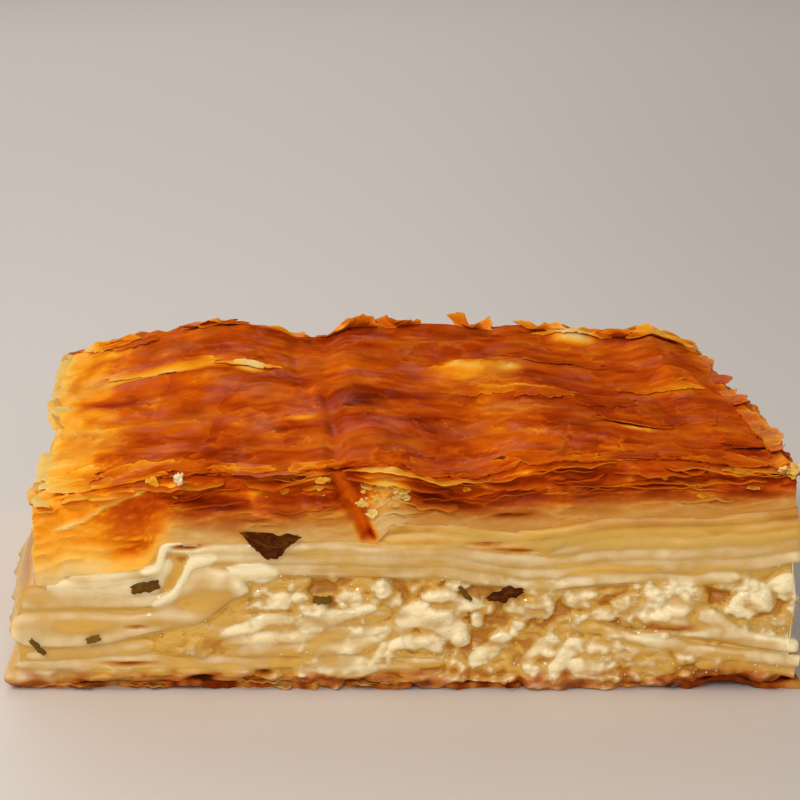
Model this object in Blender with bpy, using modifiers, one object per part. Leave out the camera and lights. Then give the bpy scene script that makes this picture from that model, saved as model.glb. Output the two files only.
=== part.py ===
"""A square slice of water borek: a browned crisp top over boiled pastry sheets and white cheese.

The front cut face is drawn as one section in millimetres, x to the right and z up from the
tray. Every sheet and filling in that section runs through to the back of the slice, so one
drift, which grows towards the back, bends all of them alike and they never cross.
"""

import math
import random
from typing import Callable, NamedTuple

import bmesh
import bpy
from mathutils import Vector, noise

MM = 0.001

# Driving sizes of the slice, mm
DEPTH = 86.0
FRONT_Y = -DEPTH / 2
LEAN = 5.0                # the back sits this far to the left of the front
CLEARANCE = 0.34          # kept between neighbouring layers
SHEET = 1.05              # one boiled sheet
FULL_SWAY_HEIGHT = 24.0   # the drift grows up to this height

# Browned top, mm
CRUST_ROWS = 15
CRUST_LEDGES = 7
CRUST_LEDGE_STEP = 0.35
CRUST_LEDGE_WANDER = 0.8
CRUST_FRONT_SETBACK = 0.5
CRUST_TOP_SETBACK = 0.9
FOLD_X = -33.9            # the underside steps up here, over the folded sheet
CRACK_X = -4.0            # and again here, over the two sheets right of the crack
CRACK_WIDTH = 2.6
CRACK_DEPTH = 5.5
CRACK_LEAN = 4.6          # how far right the crack moves on its way down
SEAM_FRONT_X, SEAM_BACK_X = -9.2, -13.6
SEAM_HALF_WIDTH = 1.1
SEAM_DROP = 0.9

# Browned base, mm
BASE_THICKNESS = 1.2
BASE_CRINKLE = 0.22
BASE_LIFT_FROM = 0.6      # an arch higher than this lifts the base's upper face too
# Arches under the base's front edge: x, half width and rise, mm
BASE_ARCHES = [(-29, 5.0, 0.55), (2.5, 5.0, 0.5), (19.5, 4.5, 0.6), (42.6, 5.6, 1.1)]

SIDE_CURDS = 11
CURD_DEPTH = 2.2          # how far a cheese core stays behind the faces that its curds make
SHEET_ROWS = 5
SPAN = 5.0                # longest step of a sheet's section
SEED = 11
FINE, COARSE = 2, 1       # subdivisions of a curd: 80 faces in front, 20 elsewhere


class Sheet(NamedTuple):
    """A boiled sheet: its centre line in the front section, thickness and setback, mm."""

    path: list
    thickness: float
    setback: float
    tip_thickness: float = 0.0    # thickness at the path's first point, where it is fatter
    path_reach: float = 6.0       # how far from that point the sheet thins down


class Leaf(NamedTuple):
    """A herb leaf on the front face: centre, size, slant in degrees and shape of its outline."""

    x: float
    z: float
    length: float
    width: float
    slant: float
    taper: float
    forward: float


SHEETS = {
    "upper_sheet_1": Sheet([(-2.6, 22.3), (4.4, 22.5), (10, 21.9), (15, 21.4), (20, 21.9), (26, 23.0),
                            (33, 23.4), (39, 23.3), (46, 23.9), (51.3, 24.7)], 1.0, 0.5),
    "upper_sheet_2": Sheet([(-3.0, 20.85), (4.4, 21.0), (10, 20.4), (14.5, 19.95), (19.5, 20.4),
                            (26, 21.6), (33, 22.0), (39, 21.9), (46, 22.5), (51.5, 23.3)],
                           1.0, 0.2),
    "upper_sheet_3": Sheet([(18.7, 18.95), (22, 19.5), (26, 20.2), (33, 20.6), (39, 20.5), (46, 21.1),
                            (51.6, 21.9)], 1.0, 0.4),
    "upper_sheet_4": Sheet([(-44.7, 15.1), (-42, 15.3), (-38, 15.6), (-34.2, 16.1), (-32.5, 17.0),
                            (-32.1, 18.2), (-31.4, 19.3), (-29.5, 19.5), (-27, 19.5), (-20, 19.6),
                            (-9, 19.8), (-1, 19.3), (4.4, 19.5), (10, 18.4), (15, 17.6), (20, 17.6),
                            (25, 18.5), (31, 19.0), (39, 19.0), (46, 19.6), (51.7, 20.4)],
                           SHEET, 0.3),
    "upper_sheet_5": Sheet([(-51.0, 12.5), (-46, 12.6), (-40, 12.4), (-35, 12.2), (-31.6, 13.1),
                            (-29.7, 14.9), (-28.6, 16.8), (-26.6, 17.9), (-20, 18.0), (-9, 18.1),
                            (-1, 17.8), (4.4, 18.0), (10, 16.9), (15, 16.1), (20, 16.1), (25, 16.9),
                            (31, 17.1), (39, 16.9), (46, 17.4), (51.9, 18.5)], SHEET, 0.0, 2.6, 19.0),
    "upper_sheet_6": Sheet([(-22.4, 13.9), (-21.8, 15.1), (-20.4, 16.2), (-17.5, 16.6), (-9, 16.6),
                            (-1, 16.3), (4.4, 16.5), (10, 15.4), (15, 14.7), (20, 14.7), (25, 15.4),
                            (31, 15.6), (39, 15.4), (44, 15.8)], SHEET, -0.3, 1.5),
    "middle_sheet_1": Sheet([(-25.0, 8.0), (-20, 8.9), (-14, 9.4), (-9, 9.9), (-2.0, 10.5)],
                            SHEET, 0.4, 1.4),
    "middle_sheet_2": Sheet([(-24.6, 6.4), (-19, 7.1), (-14, 7.5), (-9, 7.9), (-2.4, 8.6)],
                            SHEET, 0.0, 1.3),
    "middle_sheet_3": Sheet([(-23.8, 5.1), (-19, 5.4), (-14, 5.6), (-9, 6.1), (-2.9, 7.0)],
                            SHEET, -0.2),
    "left_sheet": Sheet([(-50.6, 4.6), (-45.5, 4.9), (-40.4, 5.4), (-33.4, 6.5)], SHEET, 0.2),
    "lower_sheet_1": Sheet([(-52.2, 3.3), (-45, 3.5), (-38, 3.9), (-30, 4.0), (-22, 3.8), (-14, 3.8),
                            (-6, 3.7), (0, 3.9), (4.9, 3.7)], SHEET, 0.1),
    "lower_sheet_2": Sheet([(-51.2, 2.0), (-40, 2.35), (-30, 2.45), (-20, 2.3), (-10, 2.35),
                            (0, 2.35), (5.2, 2.25)], 0.8, 0.6),
    "slanted_sheet_1": Sheet([(8.2, 3.2), (9.6, 4.6), (11.4, 5.9), (14.0, 7.3)], 1.8, -0.3, 2.9),
    "slanted_sheet_2": Sheet([(15.6, 2.9), (16.2, 4.2), (18.0, 5.5), (21.0, 6.2)], 2.5, 0.3),
    "right_sheet_2": Sheet([(21.8, 9.0), (25.5, 8.5), (30.8, 7.1), (36, 6.2), (44, 5.1), (52.1, 4.1)],
                           1.15, 0.0, 1.6),
    "right_sheet_3": Sheet([(38.4, 3.35), (44, 3.4), (51.6, 2.35)], 0.9, 0.9),
}

# Underside of the crust up to the top of the folded sheet, x and z
CRUST_LEFT_UNDERSIDE = [(-50.0, 14.7), (-46.2, 14.7), (-45.0, 16.1), (-38.0, 16.6), (FOLD_X, 17.4),
                        (FOLD_X + 0.5, 20.6), (-29.5, 20.6)]
# Front edge of the crust's top, and its back edge, x and z
CRUST_FRONT_TOP = [(-49.6, 24.6), (-43, 26.4), (-39, 27.3), (-30, 28.8), (-22, 29.2), (-14, 29.3),
                   (-10, 30.2), (-4, 30.3), (-1, 29.6), (4.4, 28.6), (9, 28.4), (15, 30.2),
                   (20, 30.9), (36, 31.0), (44, 30.4), (49, 30.0), (51.4, 31.2)]
CRUST_BACK_TOP = [(-49.6, 27.2), (-44, 28.2), (-36, 29.6), (-26, 31.0), (-21, 31.3), (-15, 30.5),
                  (-12.5, 29.9), (-8, 30.2), (-5, 31.8), (7, 32.0), (22, 31.6), (28, 30.4), (33, 29.2),
                  (39, 29.2), (43, 30.4), (48, 29.0), (51.4, 27.8)]
CRUST_COLUMNS = [-49.4, -46.3, -45.0, -41.5, -38.0, FOLD_X, FOLD_X + 0.5, -29.5, -25, -21, -17,
                 -13, -10, -7.4, -5.4, CRACK_X, CRACK_X + 0.4, -1, 2, 5, 8, 11, 13.5, 16, 19, 22, 25.5,
                 29, 33, 37, 41, 46, 51.3]
# Raised folds and blisters of the browned top: x, depth share, half sizes and height, mm
CRUST_RIDGES = [(-30, 0.64, 15, 0.05, 0.9), (31, 0.93, 6, 0.05, 1.1), (10, 0.97, 8, 0.06, 0.7),
                (14, 0.66, 9, 0.07, 0.7), (-38, 0.3, 9, 0.12, 0.7), (30, 0.27, 8, 0.05, 0.5),
                (-24, 0.93, 8, 0.08, 0.6), (44, 0.62, 5, 0.1, 0.6), (-2, 0.4, 12, 0.06, -0.6),
                (35, 0.31, 3, 0.04, -0.5), (20, 0.48, 14, 0.05, 0.5)]

# The doughy fold at the left, and the sheet wedged into the cheese at the right: top and bottom
LEFT_FOLD_TOP = [(-52.6, 9.8), (-50, 10.7), (-46, 10.8), (-36, 10.6), (-33.5, 10.9), (-30.6, 11.9),
                 (-28.9, 13.4), (-27.5, 15.6), (-25.8, 16.2), (-24.4, 14.4), (-23.6, 12.4),
                 (-20.9, 11.6)]
LEFT_FOLD_BOTTOM = [(-52.6, 7.0), (-50, 6.2), (-46, 6.1), (-40, 6.6), (-33, 8.2), (-29, 8.8),
                    (-24.5, 9.4), (-20.9, 10.2)]
WEDGE_TOP = [(31.9, 11.4), (35, 12.5), (38.5, 12.3), (41.4, 10.8), (44, 8.8), (47, 7.7), (52.2, 6.9)]
WEDGE_BOTTOM = [(31.9, 9.2), (36, 7.7), (40, 7.0), (44, 6.4), (52.2, 5.2)]

LEAVES = [
    Leaf(-17.9, 20.2, 7.2, 3.6, -4, 0.85, 0.75),
    Leaf(-34.4, 14.6, 3.8, 1.5, 12, 0.2, 0.75),
    Leaf(-11.1, 12.9, 2.5, 1.1, 0, 0.1, 1.0),
    Leaf(13.0, 13.7, 4.8, 1.9, 14, 0.7, 1.1),
    Leaf(7.7, 13.8, 2.6, 0.8, -50, 0.4, 1.1),
    Leaf(-48.8, 6.3, 2.8, 0.8, -48, 0.3, 0.9),
    Leaf(-41.4, 7.4, 1.9, 1.0, 20, 0.2, 0.9),
]


def clamp(value, low=0.0, high=1.0):
    """Keep value between low and high."""
    return max(low, min(high, value))


def smooth_bump(distance):
    """Return a bump that is 1 at distance 0 and falls smoothly to 0 at distance 1."""
    share = clamp(1 - abs(distance))
    return share * share * (3 - 2 * share)


def at(points, x):
    """Read a broken line of (x, value) points at x, held level past its ends."""
    if x <= points[0][0]:
        return points[0][1]
    for (x0, y0), (x1, y1) in zip(points, points[1:]):
        if x <= x1:
            return y0 + (y1 - y0) * (x - x0) / (x1 - x0)
    return points[-1][1]


def smooth_path(points):
    """Return points on a Catmull-Rom curve through the given ones, at most SPAN mm apart."""
    knots = [Vector(point) for point in points]
    knots = [knots[0] * 2 - knots[1]] + knots + [knots[-1] * 2 - knots[-2]]
    path = []
    for p0, p1, p2, p3 in zip(knots, knots[1:], knots[2:], knots[3:]):
        steps = max(1, round((p2 - p1).length / SPAN))
        for step in range(steps):
            t = step / steps
            path.append(0.5 * (2 * p1 + (p2 - p0) * t + (2 * p0 - 5 * p1 + 4 * p2 - p3) * t * t
                               + (3 * p1 - p0 - 3 * p2 + p3) * t ** 3))
    return path + [knots[-2]]


def thickness_at(sheet, x):
    """Thickness of a sheet at x, fatter near the first point of its path where it says so."""
    if not sheet.tip_thickness:
        return sheet.thickness
    swell = smooth_bump((x - sheet.path[0][0]) / sheet.path_reach)
    return sheet.thickness + (sheet.tip_thickness - sheet.thickness) * swell


def in_slice(x, z, v, setback=0.0):
    """Place a point of the front section at depth share v (0 front, 1 back), in metres.

    The layers lift and slide as they run back, more the higher they lie.
    """
    ease = min(1.0, 5 * v)
    height = min(z / FULL_SWAY_HEIGHT, 1.0)
    lift = ease * height * (0.6 * math.sin(x / 10 + 4.2 * v) + 0.2 * math.sin(x / 5.5 + 7 * v + 1))
    slide = ease * 0.7 * math.sin(z / 5 + 6.5 * v + 0.6)
    y = FRONT_Y + setback + (DEPTH - 2 * setback) * v
    return Vector((x + slide - LEAN * v, y, z + lift)) * MM


def roughness(along, level, size):
    """Return a smooth random offset of about +-size mm, along an edge at some level."""
    return size * noise.noise((along / 6.5, level * 3.1, 2.7))


def face_height(name, x, side):
    """Height that clears the upper (side 1) or lower (side -1) face of a sheet at x."""
    sheet = SHEETS[name]
    path = smooth_path(sheet.path)
    x = clamp(x, path[0].x, path[-1].x)
    for a, b in zip(path, path[1:]):
        if a.x <= x <= b.x:
            slope = (b.y - a.y) / (b.x - a.x)
            reach = thickness_at(sheet, x) / 2 * math.hypot(1, slope)
            return a.y + slope * (x - a.x) + side * (reach + CLEARANCE)
    raise ValueError(name)


def new_material(name, colour, roughness_value):
    """Make a Principled material of one linear RGB colour."""
    material = bpy.data.materials.new(name)
    material.use_nodes = True
    shader = material.node_tree.nodes["Principled BSDF"]
    shader.inputs["Base Color"].default_value = (*colour, 1)
    shader.inputs["Roughness"].default_value = roughness_value
    return material


def add_object(name, mesh, material, collection):
    """Link a mesh as a named object with its own copy of a material."""
    piece = bpy.data.objects.new(name, mesh)
    mesh.materials.append(material.copy())
    mesh.materials[0].name = name
    collection.objects.link(piece)
    return piece


def box_lattice(name, cells, place: Callable):
    """Make the closed skin of a box of cells, its corners moved by place(i, j, k)."""
    nu, nv, nw = cells
    bm = bmesh.new()
    corners = {}

    def corner(i, j, k):
        if (i, j, k) not in corners:
            corners[i, j, k] = bm.verts.new(place(i, j, k))
        return corners[i, j, k]

    for i in range(nu):
        for j in range(nv):
            for k in (0, nw):
                bm.faces.new([corner(i, j, k), corner(i + 1, j, k), corner(i + 1, j + 1, k),
                              corner(i, j + 1, k)])
    for k in range(nw):
        for i in range(nu):
            for j in (0, nv):
                bm.faces.new([corner(i, j, k), corner(i + 1, j, k), corner(i + 1, j, k + 1),
                              corner(i, j, k + 1)])
        for j in range(nv):
            for i in (0, nu):
                bm.faces.new([corner(i, j, k), corner(i, j + 1, k), corner(i, j + 1, k + 1),
                              corner(i, j, k + 1)])
    bmesh.ops.recalc_face_normals(bm, faces=bm.faces)
    mesh = bpy.data.meshes.new(name)
    bm.to_mesh(mesh)
    bm.free()
    return mesh


def sheet_grid(name, columns, rows, place: Callable):
    """Make an open grid of triangles, its corners moved by place(column, row)."""
    bm = bmesh.new()
    bmesh.ops.create_grid(bm, x_segments=columns, y_segments=rows, size=0.5)
    order = {}
    for vert in bm.verts:
        column, row = round((vert.co.x + 0.5) * columns), round((vert.co.y + 0.5) * rows)
        order[vert.index] = column
        vert.co = place(column, row)
    bmesh.ops.triangulate(bm, faces=bm.faces)
    mesh = bpy.data.meshes.new(name)
    bm.to_mesh(mesh)
    bm.free()
    return mesh, order


def thicken(piece, thickness, shares=None):
    """Turn an open grid into a closed solid, thinner where shares (0..1 by vertex) say so."""
    solid = piece.modifiers.new("thickness", "SOLIDIFY")
    solid.thickness = thickness * MM
    solid.offset = 0
    if shares:
        group = piece.vertex_groups.new(name="thickness")
        for index, share in shares.items():
            group.add([index], share, "REPLACE")
        solid.vertex_group = group.name


def add_sheet(name, sheet, material, collection):
    """Sweep a sheet's centre line through the slice and give it its thickness."""
    path = smooth_path(sheet.path)
    last = len(path) - 1

    def place(column, row):
        point = path[column]
        v = row / SHEET_ROWS
        setback = sheet.setback + roughness(point.x, point.y + 9 * round(v), 0.5)
        side = roughness(v * DEPTH, point.y + 40, 0.6) if column in (0, last) else 0.0
        return in_slice(point.x + side, point.y, v, setback)

    mesh, order = sheet_grid(name, last, SHEET_ROWS, place)
    piece = add_object(name, mesh, material, collection)
    widest = max(sheet.thickness, sheet.tip_thickness)
    shares = {index: thickness_at(sheet, path[column].x) / widest
              for index, column in order.items() if sheet.tip_thickness}
    thicken(piece, widest, shares)
    return piece


def add_mass(name, columns, layers, top: Callable, bottom: Callable, setback, material,
             collection, bulge=0.0):
    """Fill the room between two heights through the slice, its cut faces bulging a little."""

    def place(i, j, k):
        x, v, w = columns[i], j / SHEET_ROWS, k / layers
        low, high = bottom(x), top(x)
        swell = bulge * (1 - (2 * w - 1) ** 2)
        side = swell * ((i == len(columns) - 1) - (i == 0))
        inset = setback + roughness(x, w * 2 + 9 * round(v) + low, 0.5) - swell
        return in_slice(x + side, low + (high - low) * w, v, inset)

    mesh = box_lattice(name, (len(columns) - 1, SHEET_ROWS, layers), place)
    return add_object(name, mesh, material, collection)


def crust_underside(x):
    """Height of the crust's underside, which clears the sheets below it."""
    if x <= CRUST_LEFT_UNDERSIDE[-1][0]:
        return at(CRUST_LEFT_UNDERSIDE, x)
    return face_height("upper_sheet_4" if x <= CRACK_X else "upper_sheet_1", x, 1)


def crust_top(x, v):
    """Height of the browned top, with its wrinkles, folds and seam."""
    seam = SEAM_FRONT_X + (SEAM_BACK_X - SEAM_FRONT_X) * v
    height = at(CRUST_FRONT_TOP, x) * (1 - v) + at(CRUST_BACK_TOP, x) * v
    height += 0.5 * noise.noise((x / 15, v * DEPTH / 7, 4.0)) * min(1, 6 * v)
    for ridge_x, ridge_v, half_x, half_v, rise in CRUST_RIDGES:
        height += rise * smooth_bump((x - ridge_x) / half_x) * smooth_bump((v - ridge_v) / half_v)
    height -= SEAM_DROP * smooth_bump((x - seam) / (1.4 * SEAM_HALF_WIDTH))
    return height


def top_columns(v):
    """Spread the crust's top columns so that three of them follow the seam."""
    seam = SEAM_FRONT_X + (SEAM_BACK_X - SEAM_FRONT_X) * v
    left, right = CRUST_COLUMNS[0] + 0.7, CRUST_COLUMNS[-1]
    before, after = 12, len(CRUST_COLUMNS) - 15
    columns = [left + (seam - SEAM_HALF_WIDTH - left) * i / before for i in range(before + 1)]
    columns.append(seam)
    start = seam + SEAM_HALF_WIDTH
    return columns + [start + (right - start) * i / after for i in range(after + 1)]


def add_crust(material, collection, cutters):
    """Build the browned top: wrinkled above, ledged all round, cracked open at the front."""
    cells = (len(CRUST_COLUMNS) - 1, CRUST_ROWS, CRUST_LEDGES)

    def place(i, j, k):
        v, w = j / cells[1], k / cells[2]
        low_x, high_x = CRUST_COLUMNS[i], top_columns(v)[i]
        low, high = crust_underside(low_x), crust_top(high_x, v)
        if i in (0, cells[0]) or j in (0, cells[1]):
            high -= 0.35
        x, z = low_x + (high_x - low_x) * w, low + (high - low) * w
        step = CRUST_LEDGE_STEP * (-1) ** k
        ledge = step + CRUST_LEDGE_WANDER * noise.noise((x / 9, k * 2.3 + 5 * round(v), 8.0))
        pocket = 1.6 * smooth_bump((x + 36.5) / 4.5) * smooth_bump((z - 18.6) / 2.4) * (j == 0)
        setback = CRUST_FRONT_SETBACK + CRUST_TOP_SETBACK * w * w + ledge + pocket
        side = (step + CRUST_LEDGE_WANDER * noise.noise((v * 9, k * 2.3 + 21, 8.0))) * (0 < k)
        side *= (i == cells[0]) - (i == 0)
        return in_slice(x + side, z, v, setback)

    crust = add_object("crisp_top", box_lattice("crisp_top", cells, place), material, collection)
    wedge = bmesh.new()
    bmesh.ops.create_cube(wedge, size=1)
    for vert in wedge.verts:
        upper, inner = vert.co.z > 0, vert.co.y > 0
        middle = SEAM_FRONT_X + 0.6 if upper else SEAM_FRONT_X + CRACK_LEAN
        half = 0.25 if inner else CRACK_WIDTH / 2
        y = FRONT_Y + (CRACK_DEPTH if inner else -2)
        vert.co = Vector((middle + math.copysign(half, vert.co.x), y, 33 if upper else 19)) * MM
    mesh = bpy.data.meshes.new("crack_cutter")
    wedge.to_mesh(mesh)
    wedge.free()
    cutter = bpy.data.objects.new("crack_cutter", mesh)
    cutter.hide_render = True
    cutter.display_type = "WIRE"
    cutters.objects.link(cutter)
    crack = crust.modifiers.new("crack", "BOOLEAN")
    crack.operation = "DIFFERENCE"
    crack.object = cutter
    crack.solver = "EXACT"
    return crust


def add_base(material, collection):
    """Build the thin browned base, flat below but for low arches along its front."""
    columns, rows = 24, 8

    def place(i, j, k):
        x, v = -51.6 + 104.2 * i / columns, j / rows
        arch = sum(rise * smooth_bump((x - middle) / half) for middle, half, rise in BASE_ARCHES)
        arch *= j == 0
        upper = BASE_THICKNESS + BASE_CRINKLE * noise.noise((x / 2.3, v * 30, 1.0))
        z = upper + max(0, arch - BASE_LIFT_FROM) if k else arch
        setback = 0.3 + roughness(x * 2.2, 50 + k + 9 * round(v), 0.9)
        return in_slice(x, z, v, setback) if k else in_slice(x, z, v, setback + 0.3)

    return add_object("base_crust", box_lattice("base_crust", (columns, rows, 1), place), material,
                      collection)


def add_curds(core, spots):
    """Fuse lumps of crumbled cheese onto the cut faces of a cheese core by one union."""
    rng = random.Random(SEED)
    lumps = bpy.data.collections.new(core.name + "_curds")
    bpy.context.scene.collection.children.link(lumps)
    for x, z, v, half_size, faces in spots:
        bm = bmesh.new()
        bmesh.ops.create_icosphere(bm, subdivisions=faces, radius=1)
        middle = in_slice(x, z, v)
        for vert in bm.verts:
            size = rng.uniform(0.84, 1.0)
            vert.co = middle + Vector(a * b for a, b in zip(vert.co, half_size)) * size * MM
        mesh = bpy.data.meshes.new("curd")
        bm.to_mesh(mesh)
        bm.free()
        lumps.objects.link(bpy.data.objects.new("curd", mesh))
    union = core.modifiers.new("curds", "BOOLEAN")
    union.operation = "UNION"
    union.operand_type = "COLLECTION"
    union.collection = lumps
    union.solver = "EXACT"
    bpy.context.view_layer.objects.active = core
    bpy.ops.object.modifier_apply(modifier=union.name)
    for lump in list(lumps.objects):
        bpy.data.objects.remove(lump)
    bpy.data.collections.remove(lumps)


def column_of_curds(x, v, reach, depth, faces, top: Callable, bottom: Callable):
    """Stack curds, of half sizes reach and depth, in the room between two heights at x."""
    span = [x + reach * step / 2 for step in range(-2, 3)]
    low, high = max(bottom(side) for side in span), min(top(side) for side in span)
    if high - low < 1.0:
        return []
    rows = max(1, round((high - low) / 3.3))
    half = (high - low) / rows / 2
    half_size = (reach, depth, min(half, 1.2 * reach) * 0.93)
    return [(x, low + half * (2 * row + 1), v, half_size, faces) for row in range(rows)]


def curd_spots(x0, x1, top: Callable, bottom: Callable, spacing, sides=()):
    """List curd places along the front, the back and the named sides of a cheese core."""
    rng = random.Random(SEED + round(x0))
    spots = []
    depth = (CURD_DEPTH + 0.3) / DEPTH
    runs = ((depth, spacing, FINE), (1 - depth, spacing * 1.5, COARSE))
    for v, stride, faces in runs:
        x = x0 + 1.4
        while x < x1 - 1.2:
            reach = min(rng.uniform(0.55, 0.72) * spacing, x - x0, x1 - x)
            spots += column_of_curds(x, v, reach, CURD_DEPTH, faces, top, bottom)
            x += stride * rng.uniform(0.85, 1.2)
    for x in sides:
        for step in range(SIDE_CURDS):
            v = (step + 0.9 + rng.uniform(-0.2, 0.2)) / (SIDE_CURDS + 0.8)
            spots += column_of_curds(x, v, CURD_DEPTH, rng.uniform(3.2, 4.6), COARSE, top, bottom)
    return spots


def add_leaf(index, leaf, material, collection):
    """Make a herb leaf: a thin wavy solid just clear of the front face."""
    columns, rows = 5, 2
    slant = math.radians(leaf.slant)

    def place(column, row):
        a, b = column / columns - 0.5, row / rows - 0.5
        narrow = 1 - leaf.taper * abs(2 * a) ** 1.5
        along = a * leaf.length
        across = b * leaf.width * narrow - 0.18 * leaf.width * leaf.taper * (1 - abs(2 * a))
        x = leaf.x + along * math.cos(slant) - across * math.sin(slant)
        z = leaf.z + along * math.sin(slant) + across * math.cos(slant)
        ripple = 0.12 * math.sin(3.1 * x + index) * math.cos(2.3 * z)
        return Vector((x, FRONT_Y - leaf.forward + ripple, z)) * MM

    name = f"herb_leaf_{index}"
    mesh, _ = sheet_grid(name, columns, rows, place)
    piece = add_object(name, mesh, material, collection)
    thicken(piece, 0.3)
    return piece


def add_cheese(material, collection):
    """Build the three cheese fillings, each a core with curds fused on its cut faces."""

    def upper_top(x):
        return face_height("upper_sheet_6" if x < 45.1 else "upper_sheet_5", x, -1)

    def upper_bottom(x):
        if x <= -1.3:
            return face_height("middle_sheet_1", x, 1)
        if x < 21:
            return at([(-0.9, 5.2), (5.6, 5.2), (6.4, 6.2), (8.2, 7.4), (13.8, 9.3), (15, 8.4),
                       (20.4, 8.4)], x)
        if x < 31.4:
            return face_height("right_sheet_2", x, 1) + (0.3 if x < 24 else 0)
        return at(WEDGE_TOP, x) + CLEARANCE

    upper_columns = [-19.9, -16, -12, -8, -4, -1.5, -0.9, 2, 5.6, 6.4, 9, 12, 13.8, 15, 18, 20.4, 21.2,
                     24.5, 28, 31.3, 31.7, 35, 38.5, 41.4, 43.9, 45.0, 45.3, 48, 50.4]
    upper = add_mass("cheese_upper", upper_columns, 2, upper_top, upper_bottom, CURD_DEPTH,
                     material, collection)
    add_curds(upper, curd_spots(-19.7, 50.6, upper_top, upper_bottom, 4.6, [50.0]))

    def left_top(x):
        return at(LEFT_FOLD_BOTTOM, x) - CLEARANCE

    def left_bottom(x):
        return face_height("lower_sheet_1", x, 1)

    left = add_mass("cheese_left", [-32.3, -29.2, -26.0], 1, left_top, left_bottom, CURD_DEPTH,
                    material, collection)
    add_curds(left, curd_spots(-32.3, -26.0, left_top, left_bottom, 3.2))

    def lower_top(x):
        if x < 22.6:
            return 6.2
        return face_height("right_sheet_2", x, -1)

    def lower_bottom(x):
        return BASE_THICKNESS + BASE_CRINKLE + CLEARANCE

    lower = add_mass("cheese_lower", [22.7, 25.5, 29, 32.5, 37.4], 1, lower_top, lower_bottom,
                     CURD_DEPTH, material, collection)
    add_curds(lower, curd_spots(22.9, 37.2, lower_top, lower_bottom, 4.0))


def centre_on_origin(pieces):
    """Move the meshes so that the whole slice stands centred on the origin."""
    bpy.context.view_layer.update()
    graph = bpy.context.evaluated_depsgraph_get()
    corners = [Vector(corner) for piece in pieces for corner in piece.evaluated_get(graph).bound_box]
    middle = Vector([(min(c[axis] for c in corners) + max(c[axis] for c in corners)) / 2
                     for axis in (0, 1)] + [0.0])
    for item in bpy.data.objects:
        for vert in item.data.vertices:
            vert.co -= middle


def build():
    """Build every piece of the slice."""
    for item in list(bpy.data.objects):
        bpy.data.objects.remove(item)
    borek = bpy.data.collections.new("water_borek")
    cutters = bpy.data.collections.new("cutters")
    for collection in (borek, cutters):
        bpy.context.scene.collection.children.link(collection)
    browned = new_material("browned", (0.42, 0.12, 0.02), 0.3)
    soft = new_material("soft", (0.62, 0.42, 0.2), 0.35)
    curd = new_material("curd", (0.75, 0.56, 0.3), 0.5)
    herb = new_material("herb", (0.09, 0.03, 0.005), 0.6)

    add_base(browned, borek)
    for name, sheet in SHEETS.items():
        add_sheet(name, sheet, soft, borek)
    fold_columns = sorted({x for x, _ in LEFT_FOLD_TOP})
    add_mass("left_fold", fold_columns, 2, lambda x: at(LEFT_FOLD_TOP, x),
             lambda x: at(LEFT_FOLD_BOTTOM, x), 0.4, soft, borek, bulge=0.5)
    wedge_columns = [x for x, _ in WEDGE_TOP]
    add_mass("right_sheet_1", wedge_columns, 1, lambda x: at(WEDGE_TOP, x),
             lambda x: at(WEDGE_BOTTOM, x), 0.3, soft, borek)
    add_cheese(curd, borek)
    add_crust(browned, borek, cutters)
    for index, leaf in enumerate(LEAVES, start=1):
        add_leaf(index, leaf, herb, borek)
    centre_on_origin(borek.objects)


build()
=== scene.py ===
"""Looks of a square slice of water borek: crisp browned top, boiled sheets, cheese and herbs.

Everything is drawn in the slice's own section, in millimetres: x to the right, z up from the
tray and v from 0 at the front cut to 1 at the back. SliceSpace puts such a point in the frame.
"""

import logging
import math
import random
import sys
from dataclasses import dataclass, field
from enum import Enum
from functools import partial
from typing import Callable, Sequence

import bmesh
import bpy
import numpy as np
from bpy.types import Material, Mesh, Node, NodeSocket, NodeTree, Object
from mathutils import Euler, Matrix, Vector, noise

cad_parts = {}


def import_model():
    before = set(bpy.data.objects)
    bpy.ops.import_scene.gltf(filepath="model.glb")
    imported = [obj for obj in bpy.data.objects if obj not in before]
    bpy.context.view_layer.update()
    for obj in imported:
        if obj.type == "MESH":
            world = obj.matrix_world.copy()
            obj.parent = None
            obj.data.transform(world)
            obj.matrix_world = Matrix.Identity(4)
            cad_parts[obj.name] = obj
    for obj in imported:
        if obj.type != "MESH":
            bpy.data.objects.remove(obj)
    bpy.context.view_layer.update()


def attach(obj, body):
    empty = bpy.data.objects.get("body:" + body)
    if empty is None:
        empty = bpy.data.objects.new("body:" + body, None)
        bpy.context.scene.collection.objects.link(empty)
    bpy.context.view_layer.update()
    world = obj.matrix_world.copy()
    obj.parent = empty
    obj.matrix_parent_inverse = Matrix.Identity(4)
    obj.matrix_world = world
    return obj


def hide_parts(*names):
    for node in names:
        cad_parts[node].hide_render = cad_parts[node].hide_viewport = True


LOG = logging.getLogger("water_borek")
MM = 0.001
BELOW_ALL = -9.0
Point = tuple[float, float]
Triple = tuple[float, float, float]
Tone = tuple[float, float, float, float]


def clamp(value: float, low: float = 0.0, high: float = 1.0) -> float:
    """Keep a value between two limits."""
    return max(low, min(high, value))


def smooth(value: float) -> float:
    """Ease a value from 0 to 1 with level ends."""
    share = clamp(value)
    return share * share * (3 - 2 * share)


def bump(distance: float) -> float:
    """Return a hill that is 1 at distance 0 and 0 from distance 1 on."""
    return smooth(1 - abs(distance))


def wobble(a: float, b: float = 0.0, c: float = 0.0) -> float:
    """Return smooth noise between about -1 and 1."""
    return noise.noise((a, b, c))


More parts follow.
